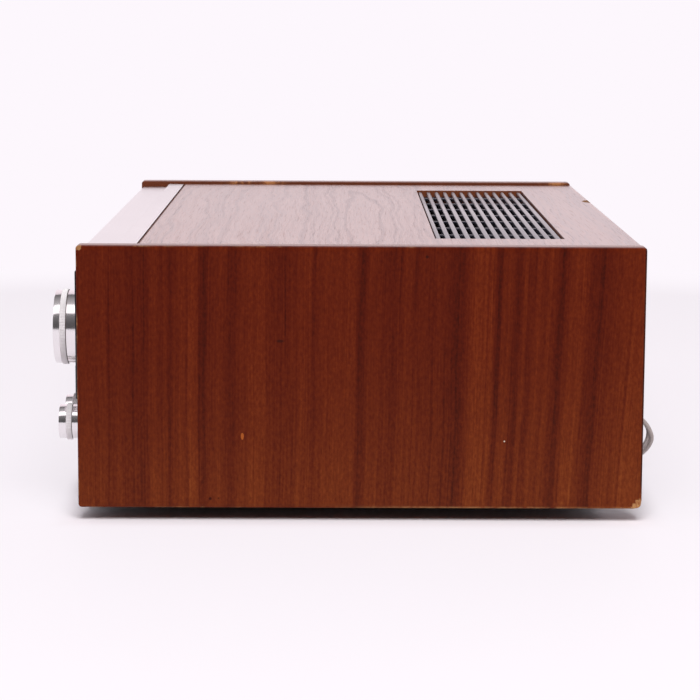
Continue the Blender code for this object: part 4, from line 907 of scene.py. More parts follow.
def storeTurning(made, centre, size, ringFront, ringBack):
    # radius, place along the axis, and 0.6 to 1 over the knurled ring or -1 in the groove behind;
    # the turned paint darkens the knurl's valleys and the groove with painted shade
    band, ring = size["band"], size["ring"]
    near = 0.0001
    values = []
    for vert in made.data.vertices:
        offset = vert.co - centre
        radius = math.hypot(offset.x, offset.z)
        onRing = radius > band + near and ringFront - near < offset.y < ringBack + near
        low, high = band * 0.9, band - near
        inGroove = low < radius < high and ringBack - near < offset.y < ringBack + 0.0006
        crest = 1 - 0.4 * min(1, max(0, ring - radius) / size["knurl"])
        values += [radius, offset.y, crest if onRing else -1 if inGroove else 0]
    store = made.data.attributes.new("turning", "FLOAT_VECTOR", "POINT")
    store.data.foreach_set("vector", values)


def makeKnob(control, kind):
    node = f"{control}_knob"
    face, shaftEnd = [corner.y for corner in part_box(node)]
    size = knobKinds[kind]
    band, ring, groove = size["band"], size["ring"], size["groove"]
    edge, chamfer = knobEdge, knobChamfer
    back = face + size["length"]
    ringFront = face + size["frontBand"]
    ringBack = ringFront + size["ringWidth"]
    bottom = face + size["drop"]
    dished = band * 0.55
    profile = [
        (0, bottom + size["dish"]),
        (dished, bottom + size["dish"]),
        (dished + edge, bottom),
        (band - size["rim"] - size["drop"], bottom),
        (band - size["rim"], face),
        (band - chamfer, face),
        (band - chamfer * 0.3, face + chamfer * 0.3),
        (band, face + chamfer),
        (band, ringFront - edge),
        (band + edge, ringFront),
        (ring - edge, ringFront),
        (ring, ringFront + edge),
        (ring, ringBack - edge),
        (ring - edge, ringBack),
        (band - groove, ringBack),
        (band - groove, ringBack + groove * 0.7),
        (band, ringBack + groove),
        (band, back - edge),
        (band - edge, back),
    ]
    if size["shaft"]:
        within, end = size["shaft"], shaftEnd
    else:
        within, end = size["bore"], back - size["boreDepth"]
    profile += [(within, back), (within, end), (0, end)]
    centre = hub(node)
    shape = turned(profile, size["ridges"] * 4, centre)
    knurled(
        shape, centre, size["ridges"], size["knurl"],
        lambda radius, y: radius > ring - edge / 2 and ringFront < y < ringBack,
    )
    name = f"{control}_knob_turned"
    made = piece(name, shape, turnedMetal, (node,), control)
    storeTurning(made, centre, size, ringFront, ringBack)


makeKnob("tuning", "tuning")
for control in smallKnobs:
    makeKnob(control, "small")
print("knobs: seven turned and knurled")


# Trim and vent

trim = {"rounding": 0.0005, "shadowLine": 0.0006}
vent = {
    "slats": 13,
    "slatWidth": 0.0031,
    "slatRounding": 0.0013,
    "edgeGap": 0.0007,
    "endGap": 0.0010,
    "crown": 0.0013,
    "bars": 7,
    "barWidth": 0.0018,
    "barRise": 0.0001,
    "barHeight": 0.0012,
    "barRounding": 0.0003,
    "rimWidth": 0.0022,
    "rimDrop": 0.0027,
    "rimRounding": 0.0002,
}


def makeTrim():
    low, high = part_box("top_trim")
    shape = block(low, high - Vector((0, trim["shadowLine"], 0)), trim["rounding"], 3)
    piece("top_trim_bar", shape, aluminium, ("top_trim",))


def ventPaint():
    paint = Paint("ventBlack")
    dust = paint.speckle(240, 3, 0.6)
    colour = paint.mix(dust * paint.speckle(35) * 1.3, tone(38, 38, 47), tone(76, 75, 86))
    paint.bump(dust, 0.08, 0.0001)
    coat = {"Coat_Weight": 0.6, "Coat_Roughness": 0.16, "Coat_IOR": 1.6}
    return paint.finish(Base_Color=colour, Roughness=0.26 + dust * 0.12, **coat)


def makeVent():
    low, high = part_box("vent_grille")
    half = vent["slatWidth"] / 2
    first = low.y + vent["edgeGap"] + half
    last = high.y - vent["edgeGap"] - half
    left, right = low.x + vent["endGap"], high.x - vent["endGap"]
    shapes = []
    for index in range(vent["slats"]):
        y = first + (last - first) * index / (vent["slats"] - 1)
        slat = block((left, y - half, low.z), (right, y + half, high.z + vent["crown"]))
        tops = [max(vert.co.z for vert in edge.verts) for edge in slat.edges]
        free = [edge for edge, top in zip(slat.edges, tops) if top > low.z + half]
        rounded(slat, free, vent["slatRounding"], 4)
        shapes.append(slat)
    barTop = high.z + vent["barRise"]
    rim = vent["rimWidth"]
    for index in range(vent["bars"]):
        step = (high.x - low.x) / (vent["bars"] + 1)
        x = (low.x + high.x) / 2 + (index - (vent["bars"] - 1) / 2) * step
        near = (x - vent["barWidth"] / 2, low.y + rim / 2, barTop - vent["barHeight"])
        far = (x + vent["barWidth"] / 2, high.y - rim / 2, barTop)
        shapes.append(block(near, far, vent["barRounding"], 2))
    top = high.z - vent["rimDrop"]
    rails = [((low.x, y), (high.x, y + rim)) for y in (low.y, high.y - rim)]
    rails += [((x, low.y + rim), (x + rim, high.y - rim)) for x in (low.x, high.x - rim)]
    for near, far in rails:
        shapes.append(block((*near, low.z), (*far, top), vent["rimRounding"], 1))
    piece("vent_slats", together(shapes), ventPaint(), ("vent_grille",))


makeTrim()
makeVent()
print("top: trim and vent are in")


# Moulded, painted and plated finishes

def plasticPaint(name, colour, roughness, grain=900, mottle=0.12, bump=0.06):
    paint = Paint(name)
    fine = paint.speckle(grain, 3, 0.6)
    darker = tone(*[part * (1 - mottle) for part in colour])
    lighter = tone(*[min(255, part * (1 + mottle)) for part in colour])
    shade = paint.mix(fine * 0.5 + paint.speckle(grain / 14) * 0.5, darker, lighter)
    paint.bump(fine, bump, 0.0002)
    return paint.finish(Base_Color=shade, Roughness=roughness + fine * 0.1 - 0.05)


def platedPaint(name, colour, roughness, spangle):
    # zinc or nickel plate with a faint crystal pattern
    paint = Paint(name)
    place = paint.place()
    settings = {"Vector": place, "Scale": spangle}
    flake = paint.axes(paint.node("ShaderNodeTexVoronoi", inputs=settings, output="Color"))[0]
    fine = paint.noise(place, spangle * 6, 3)
    darker = tone(*[part - 26 for part in colour])
    shade = paint.mix(flake * 0.6 + fine * 0.4, darker, tone(*colour))
    paint.bump(fine, 0.05, 0.0001)
    return paint.finish(Base_Color=shade, Roughness=roughness + flake * 0.12, Metallic=1.0)


nickel = platedPaint("nickelPlate", (206, 203, 196), 0.24, 420)
zinc = platedPaint("zincPlate", (186, 186, 178), 0.34, 130)
dialBlack = plasticPaint("dialBlack", (20, 20, 27), 0.24, 1500, 0.2, 0.03)
blackSatin = plasticPaint("blackSatin", (27, 26, 28), 0.42, 1100)
blackSteel = plasticPaint("blackSteel", (30, 30, 31), 0.5, 1300, 0.25, 0.25)
brownPlastic = plasticPaint("brownBakelite", (66, 40, 28), 0.36, 700, 0.22)
whitePlastic = plasticPaint("whitePlastic", (226, 222, 208), 0.45, 600, 0.03)
rubber = plasticPaint("blackRubber", (32, 31, 31), 0.72, 1400, 0.25, 0.3)
plugVinyl = plasticPaint("plugVinyl", (112, 96, 88), 0.42, 900, 0.10)
redPaint = plasticPaint("needleRed", (206, 44, 26), 0.38, 1500, 0.06)
scalePrint = plasticPaint("scalePrint", (236, 242, 226), 0.5, 2000, 0.03)
darkPrint = plasticPaint("darkPrint", (46, 43, 45), 0.5, 2000, 0.08)

dialFrame = {                       # the lower rail stands prouder
    "step": (0.0885, 0.0925), "sunk": 0.0011, "bevel": 0.0009, "weld": 0.00001, "near": 0.00005,
}


def makeDialFrame():
    # the frame's own outline, with its outer front edges bevelled
    low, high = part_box("dial_escutcheon")
    shape = bmesh.new()
    shape.from_mesh(nodes["dial_escutcheon"].data)
    bmesh.ops.remove_doubles(shape, verts=shape.verts, dist=dialFrame["weld"])
    bmesh.ops.dissolve_limit(shape, angle_limit=0.01, verts=shape.verts, edges=shape.edges)
    for level in dialFrame["step"]:
        sliced(shape, (0, 0, level), (0, 0, 1))
    for vert in shape.verts:
        if vert.co.z > dialFrame["step"][1] - hair and vert.co.y < low.y + hair:
            vert.co.y += dialFrame["sunk"]
    limit = low.y + dialFrame["sunk"] + hair
    outer = []
    for edge in shape.edges:
        ends = [vert.co for vert in edge.verts]
        inFront = edge.calc_face_angle(0) > 1 and all(end.y < limit for end in ends)
        onRim = any(
            all(abs(end[axis] - rim[axis]) < dialFrame["near"] for end in ends)
            for axis in (0, 2)
            for rim in (low, high)
        )
        if inFront and onRim:
            outer.append(edge)
    rounded(shape, outer, dialFrame["bevel"], 3)
    piece("dial_frame", shape, dialBlack, ("dial_escutcheon",))


makeDialFrame()
repaint(redPaint, "dial_pointer", "signal_needle", "tuning_needle")
repaint(whitePlastic, "dial_light_box", "dial_drum", "switch_bank")


# Dial: smoked glass, printed scale and two meters

scale = {
    "stations": {"88": 0.0, "92": 0.2, "96": 0.4, "100": 0.6, "104": 0.8, "108": 1.0},
    "lowStations": {
        "53": 0.0, "60": 0.17, "70": 0.34, "80": 0.47, "100": 0.64, "120": 0.78, "160": 1.0,
    },
    "fineTicks": 50,
    "digit": 0.0062,
    "smallDigit": 0.0036,
    "line": 0.0003,
    "lineEnd": 0.004,
    "tick": 0.00028,
    "lineLift": 0.0098,             # height of the outer lines over and under the dial's middle
    "tickLength": 0.0032,
    "shortTick": 0.55,
    "middleTicks": 100,
    "middleTick": 0.0022,
    "digitGap": 0.0045,
}
meter = {
    "arc": 0.0222,
    "arcLine": 0.00018,
    "arcSteps": 24,
    "arcOverlap": 1.03,
    "tick": 0.0020,
    "ticks": 11,
    "digitReach": 0.0268,
    "digit": 0.0034,
    "spread": math.radians(33),
    "tickSpread": 0.97,
    "endMark": (0.0013, 0.0011, 0.0006, 0.72),      # half width, depth of both sides, spread
    "pivotLift": 0.0055,
    "cavity": 0.007,
    "rim": 0.002,
    "maskHeight": 0.0062,
    "maskFront": 0.0004,
    "maskBack": 0.0016,
}


def glassPaint():
    paint = Paint("smokedGlass")
    graze = paint.node("ShaderNodeFresnel", inputs={"IOR": 1.45})
    smear = paint.speckle(40, 3, 0.6)
    tint = paint.mix(smear, (0.010, 0.012, 0.015, 1), (0.016, 0.018, 0.021, 1))
    return paint.finish(Base_Color=tint, Roughness=0.02 + smear * 0.05, Alpha=graze * 0.9 + 0.07)


def scalePaint():
    paint = Paint("scaleEnamel")
    fine = paint.speckle(1200)
    colour = paint.mix(paint.speckle(26), tone(14, 21, 30), tone(24, 34, 45))
    colour = paint.mix(fine * 0.3, colour, tone(34, 44, 56))
    return paint.finish(Base_Color=colour, Roughness=0.48 + fine * 0.1)


def makeScale():
    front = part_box("dial_scale")[0].y
    rest = hub("dial_pointer").x
    left, right = [rest + end for end in travel["pointer_slide"]]
    middle = hub("dial_escutcheon").z
    lift, half = scale["lineLift"], scale["tick"] / 2
    shapes = []

    def bar(x, wide, bottom, top):
        shapes.append(block((x - wide, front - hair, bottom), (x + wide, front + hair, top)))

    for z in (middle + lift, middle, middle - lift):
        thin = scale["line"] / 2
        bar((left + right) / 2, (right - left) / 2 + scale["lineEnd"], z - thin, z + thin)
    for side, stations in ((1, scale["stations"]), (-1, scale["lowStations"])):
        z = middle + side * lift
        for index in range(scale["fineTicks"] + 1):
            x = left + (right - left) * index / scale["fineTicks"]
            length = scale["tickLength"] * (scale["shortTick"] if index % 5 else 1)
            bar(x, half, *sorted((z, z + side * length)))
        level = z + side * (scale["tickLength"] + scale["digitGap"])
        for text, share in stations.items():
            at = (left + (right - left) * share, front, level)
            shapes.append(lettering(text, scale["digit"], at))
    for index in range(scale["middleTicks"] + 1):
        x = left + (right - left) * index / scale["middleTicks"]
        length = scale["middleTick"] / (2 if index % 10 else 1)
        bar(x, half, middle - length, middle)
        if index % 10 == 0:
            at = (x, front, middle + scale["smallDigit"] * 0.75)
            shapes.append(lettering(str(index), scale["smallDigit"], at))
    piece("scale_print", together(shapes), scalePrint, smooth=False)


def meterPaint():
    # cream face inside a black rim
    paint, place, _, y, _ = painting("meterCream")
    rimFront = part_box("signal_meter")[0].y
    fine = paint.noise(place, 700)
    broad = paint.noise(place, 50)
    colour = paint.mix(fine * 0.4 + broad * 0.6, tone(226, 220, 196), tone(241, 236, 216))
    colour = paint.mix((y - rimFront).between(0.0006, 0.0003), colour, tone(24, 24, 28))
    return paint.finish(Base_Color=colour, Roughness=0.5 + fine * 0.08)


def makeMeterFaces():
    arc, line, steps, spread = [meter[key] for key in ("arc", "arcLine", "arcSteps", "spread")]
    for kind in ("signal", "tuning"):
        low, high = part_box(f"{kind}_meter")
        pivot = Vector(((low.x + high.x) / 2, low.y + meter["cavity"], low.z + meter["pivotLift"]))
        half = arc * spread / steps * meter["arcOverlap"]
        angles = [spread * (2 * (index + 0.5) / steps - 1) for index in range(steps)]
        shapes = [dash(half, arc - line, arc + line, angle, pivot) for angle in angles]
        for index in range(meter["ticks"]):
            angle = spread * (index / 5 - 1) * meter["tickSpread"]
            half, reach = (0.00016, 0.8) if index % 5 else (0.00030, 1.25)
            shapes.append(dash(half, arc, arc + meter["tick"] * reach, angle, pivot))
            if kind == "signal" and index % 2 == 0:
                out = outward(angle, meter["digitReach"] - 0.0002 * abs(index - 5))
                at = pivot + out - Vector((0, 0, 0.0002))
                shapes.append(lettering(str(index // 2), meter["digit"], at))
        if kind == "tuning":
            half, inner, outer, share = meter["endMark"]
            span = (meter["digitReach"] - inner, meter["digitReach"] - outer)
            shapes += [dash(half, *span, side * spread * share, pivot) for side in (-1, 1)]
        name = f"{kind}_meter_print"
        piece(name, together(shapes), darkPrint, smooth=False)
        rim, bottom = meter["rim"], low.z + meter["rim"]
        near = (low.x + rim, low.y + meter["maskFront"], bottom)
        far = (high.x - rim, low.y + meter["maskBack"], bottom + meter["maskHeight"])
        piece(f"{kind}_meter_mask", block(near, far, 0.0003, 2), dialBlack)


repaint(glassPaint(), "dial_glass")
repaint(scalePaint(), "dial_scale")
repaint(meterPaint(), "signal_meter", "tuning_meter")
makeScale()
makeMeterFaces()
print("dial: glass, scale and meters are in")


# Buttons, jack and marks on the front panel

button = {
    "rounding": 0.0007, "faceRim": 0.0011, "dish": 0.00022, "cap": 0.0115, "overlap": 0.0003,
    "stem": 0.002,
}
jack = {
    "ring": 0.0064, "lip": 0.0042, "bore": 0.0032, "barrel": 0.005, "chamfer": 0.0006,
    "ridges": 40, "knurl": 0.00022, "edge": 0.0003, "sunk": 0.0006, "steps": 48,
}
marks = {
    "inner": 0.0130, "outer": 0.0147, "width": 0.0004, "mainWidth": 1.5, "digitReach": 0.0168,
    "digit": 0.0027, "dot": 0.0006, "dotGap": 0.0035, "indexInner": 0.0045,
    "indexOuter": 0.0088, "indexWidth": 0.0007, "indexProud": 0.00012,
    "scales": {                     # count of ticks, and the figures spread over them
        "speaker": (3, "1 2 3"), "bass": (11, "5 0 5"), "treble": (11, "5 0 5"),
        "balance": (11, "5 0 5"), "volume": (11, "0 5 10"), "selector": (5, "1 2 3 4 5"),
    },
}
buttonMetal = brushedPaint("aluminiumButtons", (236, 233, 235), 0.3, 90)


def makeButton(body):
    node = f"{body}_button"
    low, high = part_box(node)
    back = low.y + button["cap"]
    cap = block(low, (high.x, back, high.z), button["rounding"], 3)
    face = min(cap.faces, key=lambda item: item.calc_center_median().y)
    dish = {"thickness": button["faceRim"], "depth": -button["dish"]}
    bmesh.ops.inset_individual(cap, faces=[face], **dish)
    middle, half = hub(node), button["stem"]
    near = (middle.x - half, back - button["overlap"], middle.z - half)
    stem = block(near, (middle.x + half, high.y, middle.z + half), 0.0003, 1)
    name = f"{node}_cap"
    piece(name, together([cap, stem]), buttonMetal, (node,), body)


def makeJack():
    low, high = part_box("headphone_jack")
    centre = hub("headphone_jack")
    front, panelFace = low.y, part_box("front_panel")[0].y
    ring, lip, bore, barrel, chamfer, edge, sunk = [
        jack[key] for key in ("ring", "lip", "bore", "barrel", "chamfer", "edge", "sunk")
    ]
    nut = [
        (lip, front + edge), (lip + edge, front), (ring - chamfer, front), (ring, front + chamfer),
        (ring, panelFace - edge), (barrel, panelFace - edge), (barrel, high.y), (lip, high.y),
        (lip, front + edge),
    ]
    ridges = jack["ridges"]
    shape = turned(nut, ridges * 4, centre)
    knurled(shape, centre, ridges, jack["knurl"], lambda radius, y: radius > ring - 0.0001)
    piece("jack_nut", shape, nickel, ("headphone_jack",))
    back = high.y - 0.0004
    sleeve = [
        (bore, front + sunk + edge), (bore + edge, front + sunk), (lip, front + sunk), (lip, back),
        (0, back), (0, high.y - 0.0015), (bore, high.y - 0.0015), (bore, front + sunk + edge),
    ]
    piece("jack_sleeve", turned(sleeve, jack["steps"], centre), blackSatin)


def makeFrontMarks():
    # plain ticks and figures round the small knobs
    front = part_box("front_panel")[0].y
    shapes = []
    for control, (count, figures) in marks["scales"].items():
        centre = hub(f"{control}_knob") + Vector((0, front, 0))
        start, end = travel[f"{control}_turn"]
        reach = math.radians(end - start) / 2
        for index in range(count):
            angle = reach * (2 * index / (count - 1) - 1)
            main = index in (0, count // 2, count - 1)
            half = marks["width"] / 2 * (marks["mainWidth"] if main else 1)
            shapes.append(dash(half, marks["inner"], marks["outer"], angle, centre))
        figures = figures.split()
        for index, figure in enumerate(figures):
            angle = reach * (2 * index / (len(figures) - 1) - 1)
            at = centre + outward(angle, marks["digitReach"])
            shapes.append(lettering(figure, marks["digit"], at))
    for name in pushButtons:
        at = (hub(f"{name}_button").x, front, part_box(f"{name}_button")[1].z + marks["dotGap"])
        shapes.append(rod(marks["dot"], -hair, hair, 16, at))
    piece("front_marks", together(shapes), darkPrint, smooth=False)


def makeIndexLines():
    # each small knob points straight up at the middle of its travel
    half, proud = marks["indexWidth"] / 2, marks["indexProud"]
    for control in smallKnobs:
        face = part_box(f"{control}_knob")[0].y + knobKinds["small"]["drop"]
        centre = hub(f"{control}_knob") + Vector((0, face, 0))
        near, far = (-half, -proud, marks["indexInner"]), (half, 0.0003, marks["indexOuter"])
        turn = -math.radians(sum(travel[f"{control}_turn"])) / 2
        shape = shifted(rotated(block(near, far, 0.00005, 1), turn, "Y"), centre)
        piece(f"{control}_index", shape, darkPrint, body=control)


for name in pushButtons:
    makeButton(name)
makeJack()
makeFrontMarks()
makeIndexLines()
print("front: buttons, jack and marks are in")


# Rear panel: terminals, sockets, antenna, strain relief and screws

screw = {
    "radius": 0.0035, "slot": 0.0009, "steps": 24, "chamfer": 0.3, "core": (0.96, 0.35),
    "turns": (61, 47, 83),          # each slot points its own way
    "small": 0.0032, "across": (-0.222, -0.090, 0.045, 0.222), "levels": (0.018, 0.1425),
    "rearFace": 0.1559, "rearHeight": 0.0018, "coverAcross": (-0.215, 0.0, 0.215),
    "coverAlong": (-0.142, 0.008, 0.146), "coverHeight": 0.0014,
}
strip = {
    "step": 0.003, "rounding": 0.0008, "columns": 4, "barrier": 0.0008, "barrierDepth": 0.0005,
    "barrierHeight": 0.0026, "barrierInset": 0.001, "barrierRounding": 0.0004, "washer": 0.0048,
    "washerHeight": 0.0008, "screwHeight": 0.0022, "poles": 5, "polePitch": 0.012,
    "collar": 0.0044, "collarHeight": 0.0007, "poleHeight": 0.0023, "sunk": 0.0002,
}
socket = {                          # points by radius and place: from the rims, then from the plate
    "plate": 0.002, "rounding": 0.0005, "across": 0.019, "upward": 0.020,
    "ringRim": [(0.0037, -0.0002), (0.0039, 0), (0.0040, 0), (0.0042, -0.0002)],
    "ringBase": [(0.0042, 0.0014), (0.0055, 0.0012), (0.0056, -0.0002), (0.0037, -0.0002)],
    "coreRim": [(0.0017, -0.0012), (0.0019, -0.0010), (0.0036, -0.0010)],
    "coreBase": [(0.0036, 0), (0, 0), (0, 0.0008), (0.0017, 0.0008)],
    "ringSteps": 40, "coreSteps": 32, "rivet": (0.0024, 0.0014), "rivetInset": 0.0038,
}
relief = {
    "recess": 0.0137, "flangeDepth": 0.0025, "neck": 0.0055, "flange": 0.0085, "root": 0.0062,
    "ribs": 6, "rib": 0.0060, "taper": 0.0020, "groove": 0.0008, "tip": 0.0040, "steps": 40,
}


def slottedHead(radius, thickness, at, facing="rear"):
    # a slotted screw head that looks to the rear or down
    halves = []
    for side in (-1, 1):
        chamfer = thickness * screw["chamfer"]
        half = rod(radius, 0, thickness, screw["steps"], axis="Z", chamfer=chamfer)
        sliced(half, (side * screw["slot"] / 2, 0, 0), (side, 0, 0), clear_inner=True)
        bmesh.ops.holes_fill(half, edges=half.edges[:])
        halves.append(half)
    narrow, low = screw["core"]
    core = rod(radius * narrow, 0, thickness * low, screw["steps"], axis="Z")
    shape = together(halves + [core])
    rotated(shape, sum(part * turn for part, turn in zip(at, screw["turns"])) % math.pi, "Z")
    rotated(shape, math.pi if facing == "down" else -math.pi / 2, "X")
    return shifted(shape, at)


def makeTerminals():
    low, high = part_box("speaker_terminals")
    face, sunk = high.y - strip["step"], strip["sunk"]
    thick, inset = strip["barrier"], strip["barrierInset"]
    shapes = [block(low, (high.x, face, high.z), strip["rounding"], 2)]
    pitch = (high.x - low.x) / strip["columns"]
    for index in range(strip["columns"] + 1):
        x = min(max(low.x + index * pitch, low.x + thick), high.x - thick)
        near = (x - thick, face - strip["barrierDepth"], low.z + inset)
        far = (x + thick, face + strip["barrierHeight"], high.z - inset)
        shapes.append(block(near, far, strip["barrierRounding"], 2))
    node = "speaker_terminals"
    piece("speaker_strip", together(shapes), blackSatin, (node,))
    heads = []
    wide, top = strip["washer"], face + strip["washerHeight"]
    for column in range(strip["columns"]):
        for row in (-1, 1):
            x = low.x + (column + 0.5) * pitch
            z = (low.z + high.z) / 2 + row * (high.z - low.z) / 4
            near, far = (x - wide, face - sunk, z - wide), (x + wide, top, z + wide)
            heads.append(block(near, far, 0.0002, 1))
            at = (x, top - 0.0001, z)
            heads.append(slottedHead(screw["radius"], strip["screwHeight"], at))
    piece("speaker_screws", together(heads), nickel)

    node = "antenna_terminals"
    low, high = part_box(node)
    face, middle = high.y - strip["step"], hub(node)
    shape = block(low, (high.x, face, high.z), strip["rounding"], 2)
    piece("antenna_strip", shape, brownPlastic, (node,))
    heads = []
    top = face + strip["collarHeight"]
    for index in range(strip["poles"]):
        x = middle.x + (index - strip["poles"] // 2) * strip["polePitch"]
        heads.append(rod(strip["collar"], face - sunk, top, 32, (x, 0, middle.z)))
        at = (x, top - 0.0001, middle.z)
        heads.append(slottedHead(screw["radius"], strip["poleHeight"], at))
    piece("antenna_screws", together(heads), nickel)


def makeSockets():
    low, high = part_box("input_jacks")
    centre, plateFace = hub("input_jacks"), low.y + socket["plate"]
    plate = block(low, (high.x, plateFace, high.z), socket["rounding"], 2)
    piece("input_plate", plate, brownPlastic, ("input_jacks",))
    made = {}
    for part in ("ring", "core"):
        rim = [(radius, high.y + y) for radius, y in socket[f"{part}Rim"]]
        base = [(radius, plateFace + y) for radius, y in socket[f"{part}Base"]]
        profile = rim + base + rim[:1]
        made[part] = []
        for column in (-1.5, -0.5, 0.5, 1.5):
            for row in (-0.5, 0.5):
                at = centre + Vector((column * socket["across"], 0, row * socket["upward"]))
                made[part].append(turned(profile, socket[f"{part}Steps"], at))
    reach = (high.x - low.x) / 2 - socket["rivetInset"]
    for side in (-1, 1):
        at = centre + Vector((side * reach, plateFace - 0.0002, 0))
        made["ring"].append(slottedHead(*socket["rivet"], at))
    piece("input_rings", together(made["ring"]), nickel)
    piece("input_cores", together(made["core"]), whitePlastic)


def makeStrainRelief():
    low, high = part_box("cord_strain_relief")
    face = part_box("rear_panel")[1].y - relief["recess"]
    end = face + relief["flangeDepth"]
    neck, wide, tip, ribs = [relief[key] for key in ("neck", "flange", "tip", "ribs")]
    profile = [(0, low.y), (neck, low.y), (neck, face), (wide - 0.0004, face)]
    profile += [(wide, face + 0.0004), (wide, end - 0.0006), (wide - 0.0006, end)]
    profile += [(relief["root"], end)]
    pitch = (high.y - 0.001 - end) / ribs
    for index in range(ribs):
        start = end + index * pitch
        radius = relief["rib"] - relief["taper"] * index / ribs
        inner = radius - relief["groove"]
        profile += [(inner, start + 0.0002), (inner, start + pitch * 0.32)]
        profile += [(radius, start + pitch * 0.45), (radius - 0.0001, start + pitch * 0.98)]
    profile += [(tip, high.y - 0.0006), (tip - 0.0004, high.y), (0, high.y)]
    shape = turned(profile, relief["steps"], hub("cord_strain_relief"))
    return piece("strain_relief_boot", shape, rubber, ("cord_strain_relief",))


def ferritePaint():
    # dark bar with a copper coil near its middle and paper sleeves
    paint, place, x, _, _ = painting("ferriteRod")
    fine = paint.noise(place, 900, 3)
    colour = paint.mix(fine, tone(44, 42, 43), tone(68, 65, 66))
    coil = x.between(0.0004, 0.0) * (x + 0.034).between(0.0, 0.0004)
    turns = x.wave(0.0007)
    colour = paint.mix(coil, colour, paint.mix(turns, tone(120, 56, 22), tone(196, 112, 58)))
    sleeve = (x + 0.041).between(0.0, 0.0003) * (x + 0.034).between(0.0003, 0.0)
    sleeve = sleeve + (x - 0.007).between(0.0003, 0.0) * x.between(0.0, 0.0003)
    colour = paint.mix(sleeve, colour, tone(206, 186, 140))
    bracket = (x - (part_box("ferrite_antenna")[1].x - 0.0168)).between(0.0, 0.0004)
    colour = paint.mix(bracket, colour, tone(30, 29, 30))
    paint.bump(turns * coil + fine * 0.2, 0.3, 0.0002)
    return paint.finish(Base_Color=colour, Roughness=0.58 - coil * 0.22)


def makeScrews():
    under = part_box("bottom_cover")[0].z + 0.0001
    rear = [(x, screw["rearFace"], z) for x in screw["across"] for z in screw["levels"]]
    cover = [(x, y, under) for x in screw["coverAcross"] for y in screw["coverAlong"]]
    for kind, places, facing in (("rear", rear, "rear"), ("cover", cover, "down")):
        height = screw[f"{kind}Height"]
        heads = [slottedHead(screw["small"], height, at, facing) for at in places]
        piece(f"{kind}_screws", together(heads), nickel)


makeTerminals()
makeSockets()
reliefBoot = makeStrainRelief()
repaint(blackSteel, "rear_panel", "bottom_cover")
repaint(ferritePaint(), "ferrite_antenna")
makeScrews()
print("rear: terminals, sockets and antenna are in")


# Feet, plug and tie

foot = {
    "recess": 0.0045, "recessDepth": 0.0042, "base": 0.0130, "top": 0.0150, "band": 0.0020,
    "lip": 0.0005, "steps": 56, "screw": (0.0036, 0.0018),
}
plug = {
    "rounding": 0.003, "neck": 0.009, "body": 0.026, "neckHalf": (0.005, 0.004), "collars": 3,
    "shrink": 0.0009, "ridges": 5, "ridgeFrom": 0.010, "ridgePitch": 0.0028, "ridgeInset": 0.0035,
    "bladePlace": 0.00635, "blade": 0.00075, "bladeHeight": 0.00315, "bladeRounding": 0.0005,
    "hole": 0.0015, "holePlace": 0.0045,
}
tie = {"rounding": 0.0022, "wall": 0.0007}


def makeFeet():
    recess, depth, base, top, lip = [
        foot[key] for key in ("recess", "recessDepth", "base", "top", "lip")
    ]
    heads = []
    for corner in ("front_left", "front_right", "rear_left", "rear_right"):
        node = f"foot_{corner}"
        low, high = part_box(node)
        centre = Vector(((low.x + high.x) / 2, (low.y + high.y) / 2, 0))
        profile = [
            (0, depth), (recess, depth), (recess, lip), (recess + lip, 0), (base - lip, 0),
            (base, lip * 0.7), (top, high.z - foot["band"]), (top, high.z), (0, high.z),
        ]
        shape = turned(profile, foot["steps"], centre, "Z")
        piece(f"{node}_rubber", shape, rubber, (node,))
        at = centre + Vector((0, 0, depth + 0.0001))
        heads.append(slottedHead(*foot["screw"], at, "down"))
    piece("foot_screws", together(heads), nickel)


def makePlug():
    low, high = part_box("power_plug")
    middle = (low + high) / 2
    neckEnd = high.y - plug["neck"]
    bodyEnd = neckEnd - plug["body"]
    shapes = [block((low.x, bodyEnd, low.z), (high.x, neckEnd, high.z), plug["rounding"], 5)]
    step = plug["neck"] / plug["collars"]
    for index in range(plug["collars"]):
        start = neckEnd - 0.001 + index * step
        end = min(high.y, start + step + 0.0008)
        wide, tall = [half - index * plug["shrink"] for half in plug["neckHalf"]]
        centre = (middle.x, (start + end) / 2, middle.z)
        shapes.append(slab(centre, (wide, (end - start) / 2, tall), 0.0014, 3))
    tall = (high.z - low.z) / 2 - plug["ridgeInset"]
    for index in range(plug["ridges"]):
        y = bodyEnd + plug["ridgeFrom"] + index * plug["ridgePitch"]
        for x in (low.x + 0.0002, high.x - 0.0002):
            shapes.append(slab((x, y, middle.z), (0.0005, 0.0007, tall), 0.0004, 2))
    body = piece("plug_body", together(shapes), plugVinyl, ("power_plug",))
    blades = []
    thick, tall, proud = plug["blade"], plug["bladeHeight"], plug["blade"] + 0.00003
    for side in (-1, 1):
        x = middle.x + side * plug["bladePlace"]
        near = (x - thick, low.y, middle.z - tall)
        blade = block(near, (x + thick, bodyEnd + 0.002, middle.z + tall))
        tip = low.y + 0.001
        front = [edge for edge in blade.edges if all(vert.co.y < tip for vert in edge.verts)]
        rounded(blade, front, plug["bladeRounding"], 2)
        at = (0, low.y + plug["holePlace"], middle.z)
        blades += [blade, rod(plug["hole"], x - proud, x + proud, 20, at, "X")]
    return body, piece("plug_blades", together(blades), nickel)


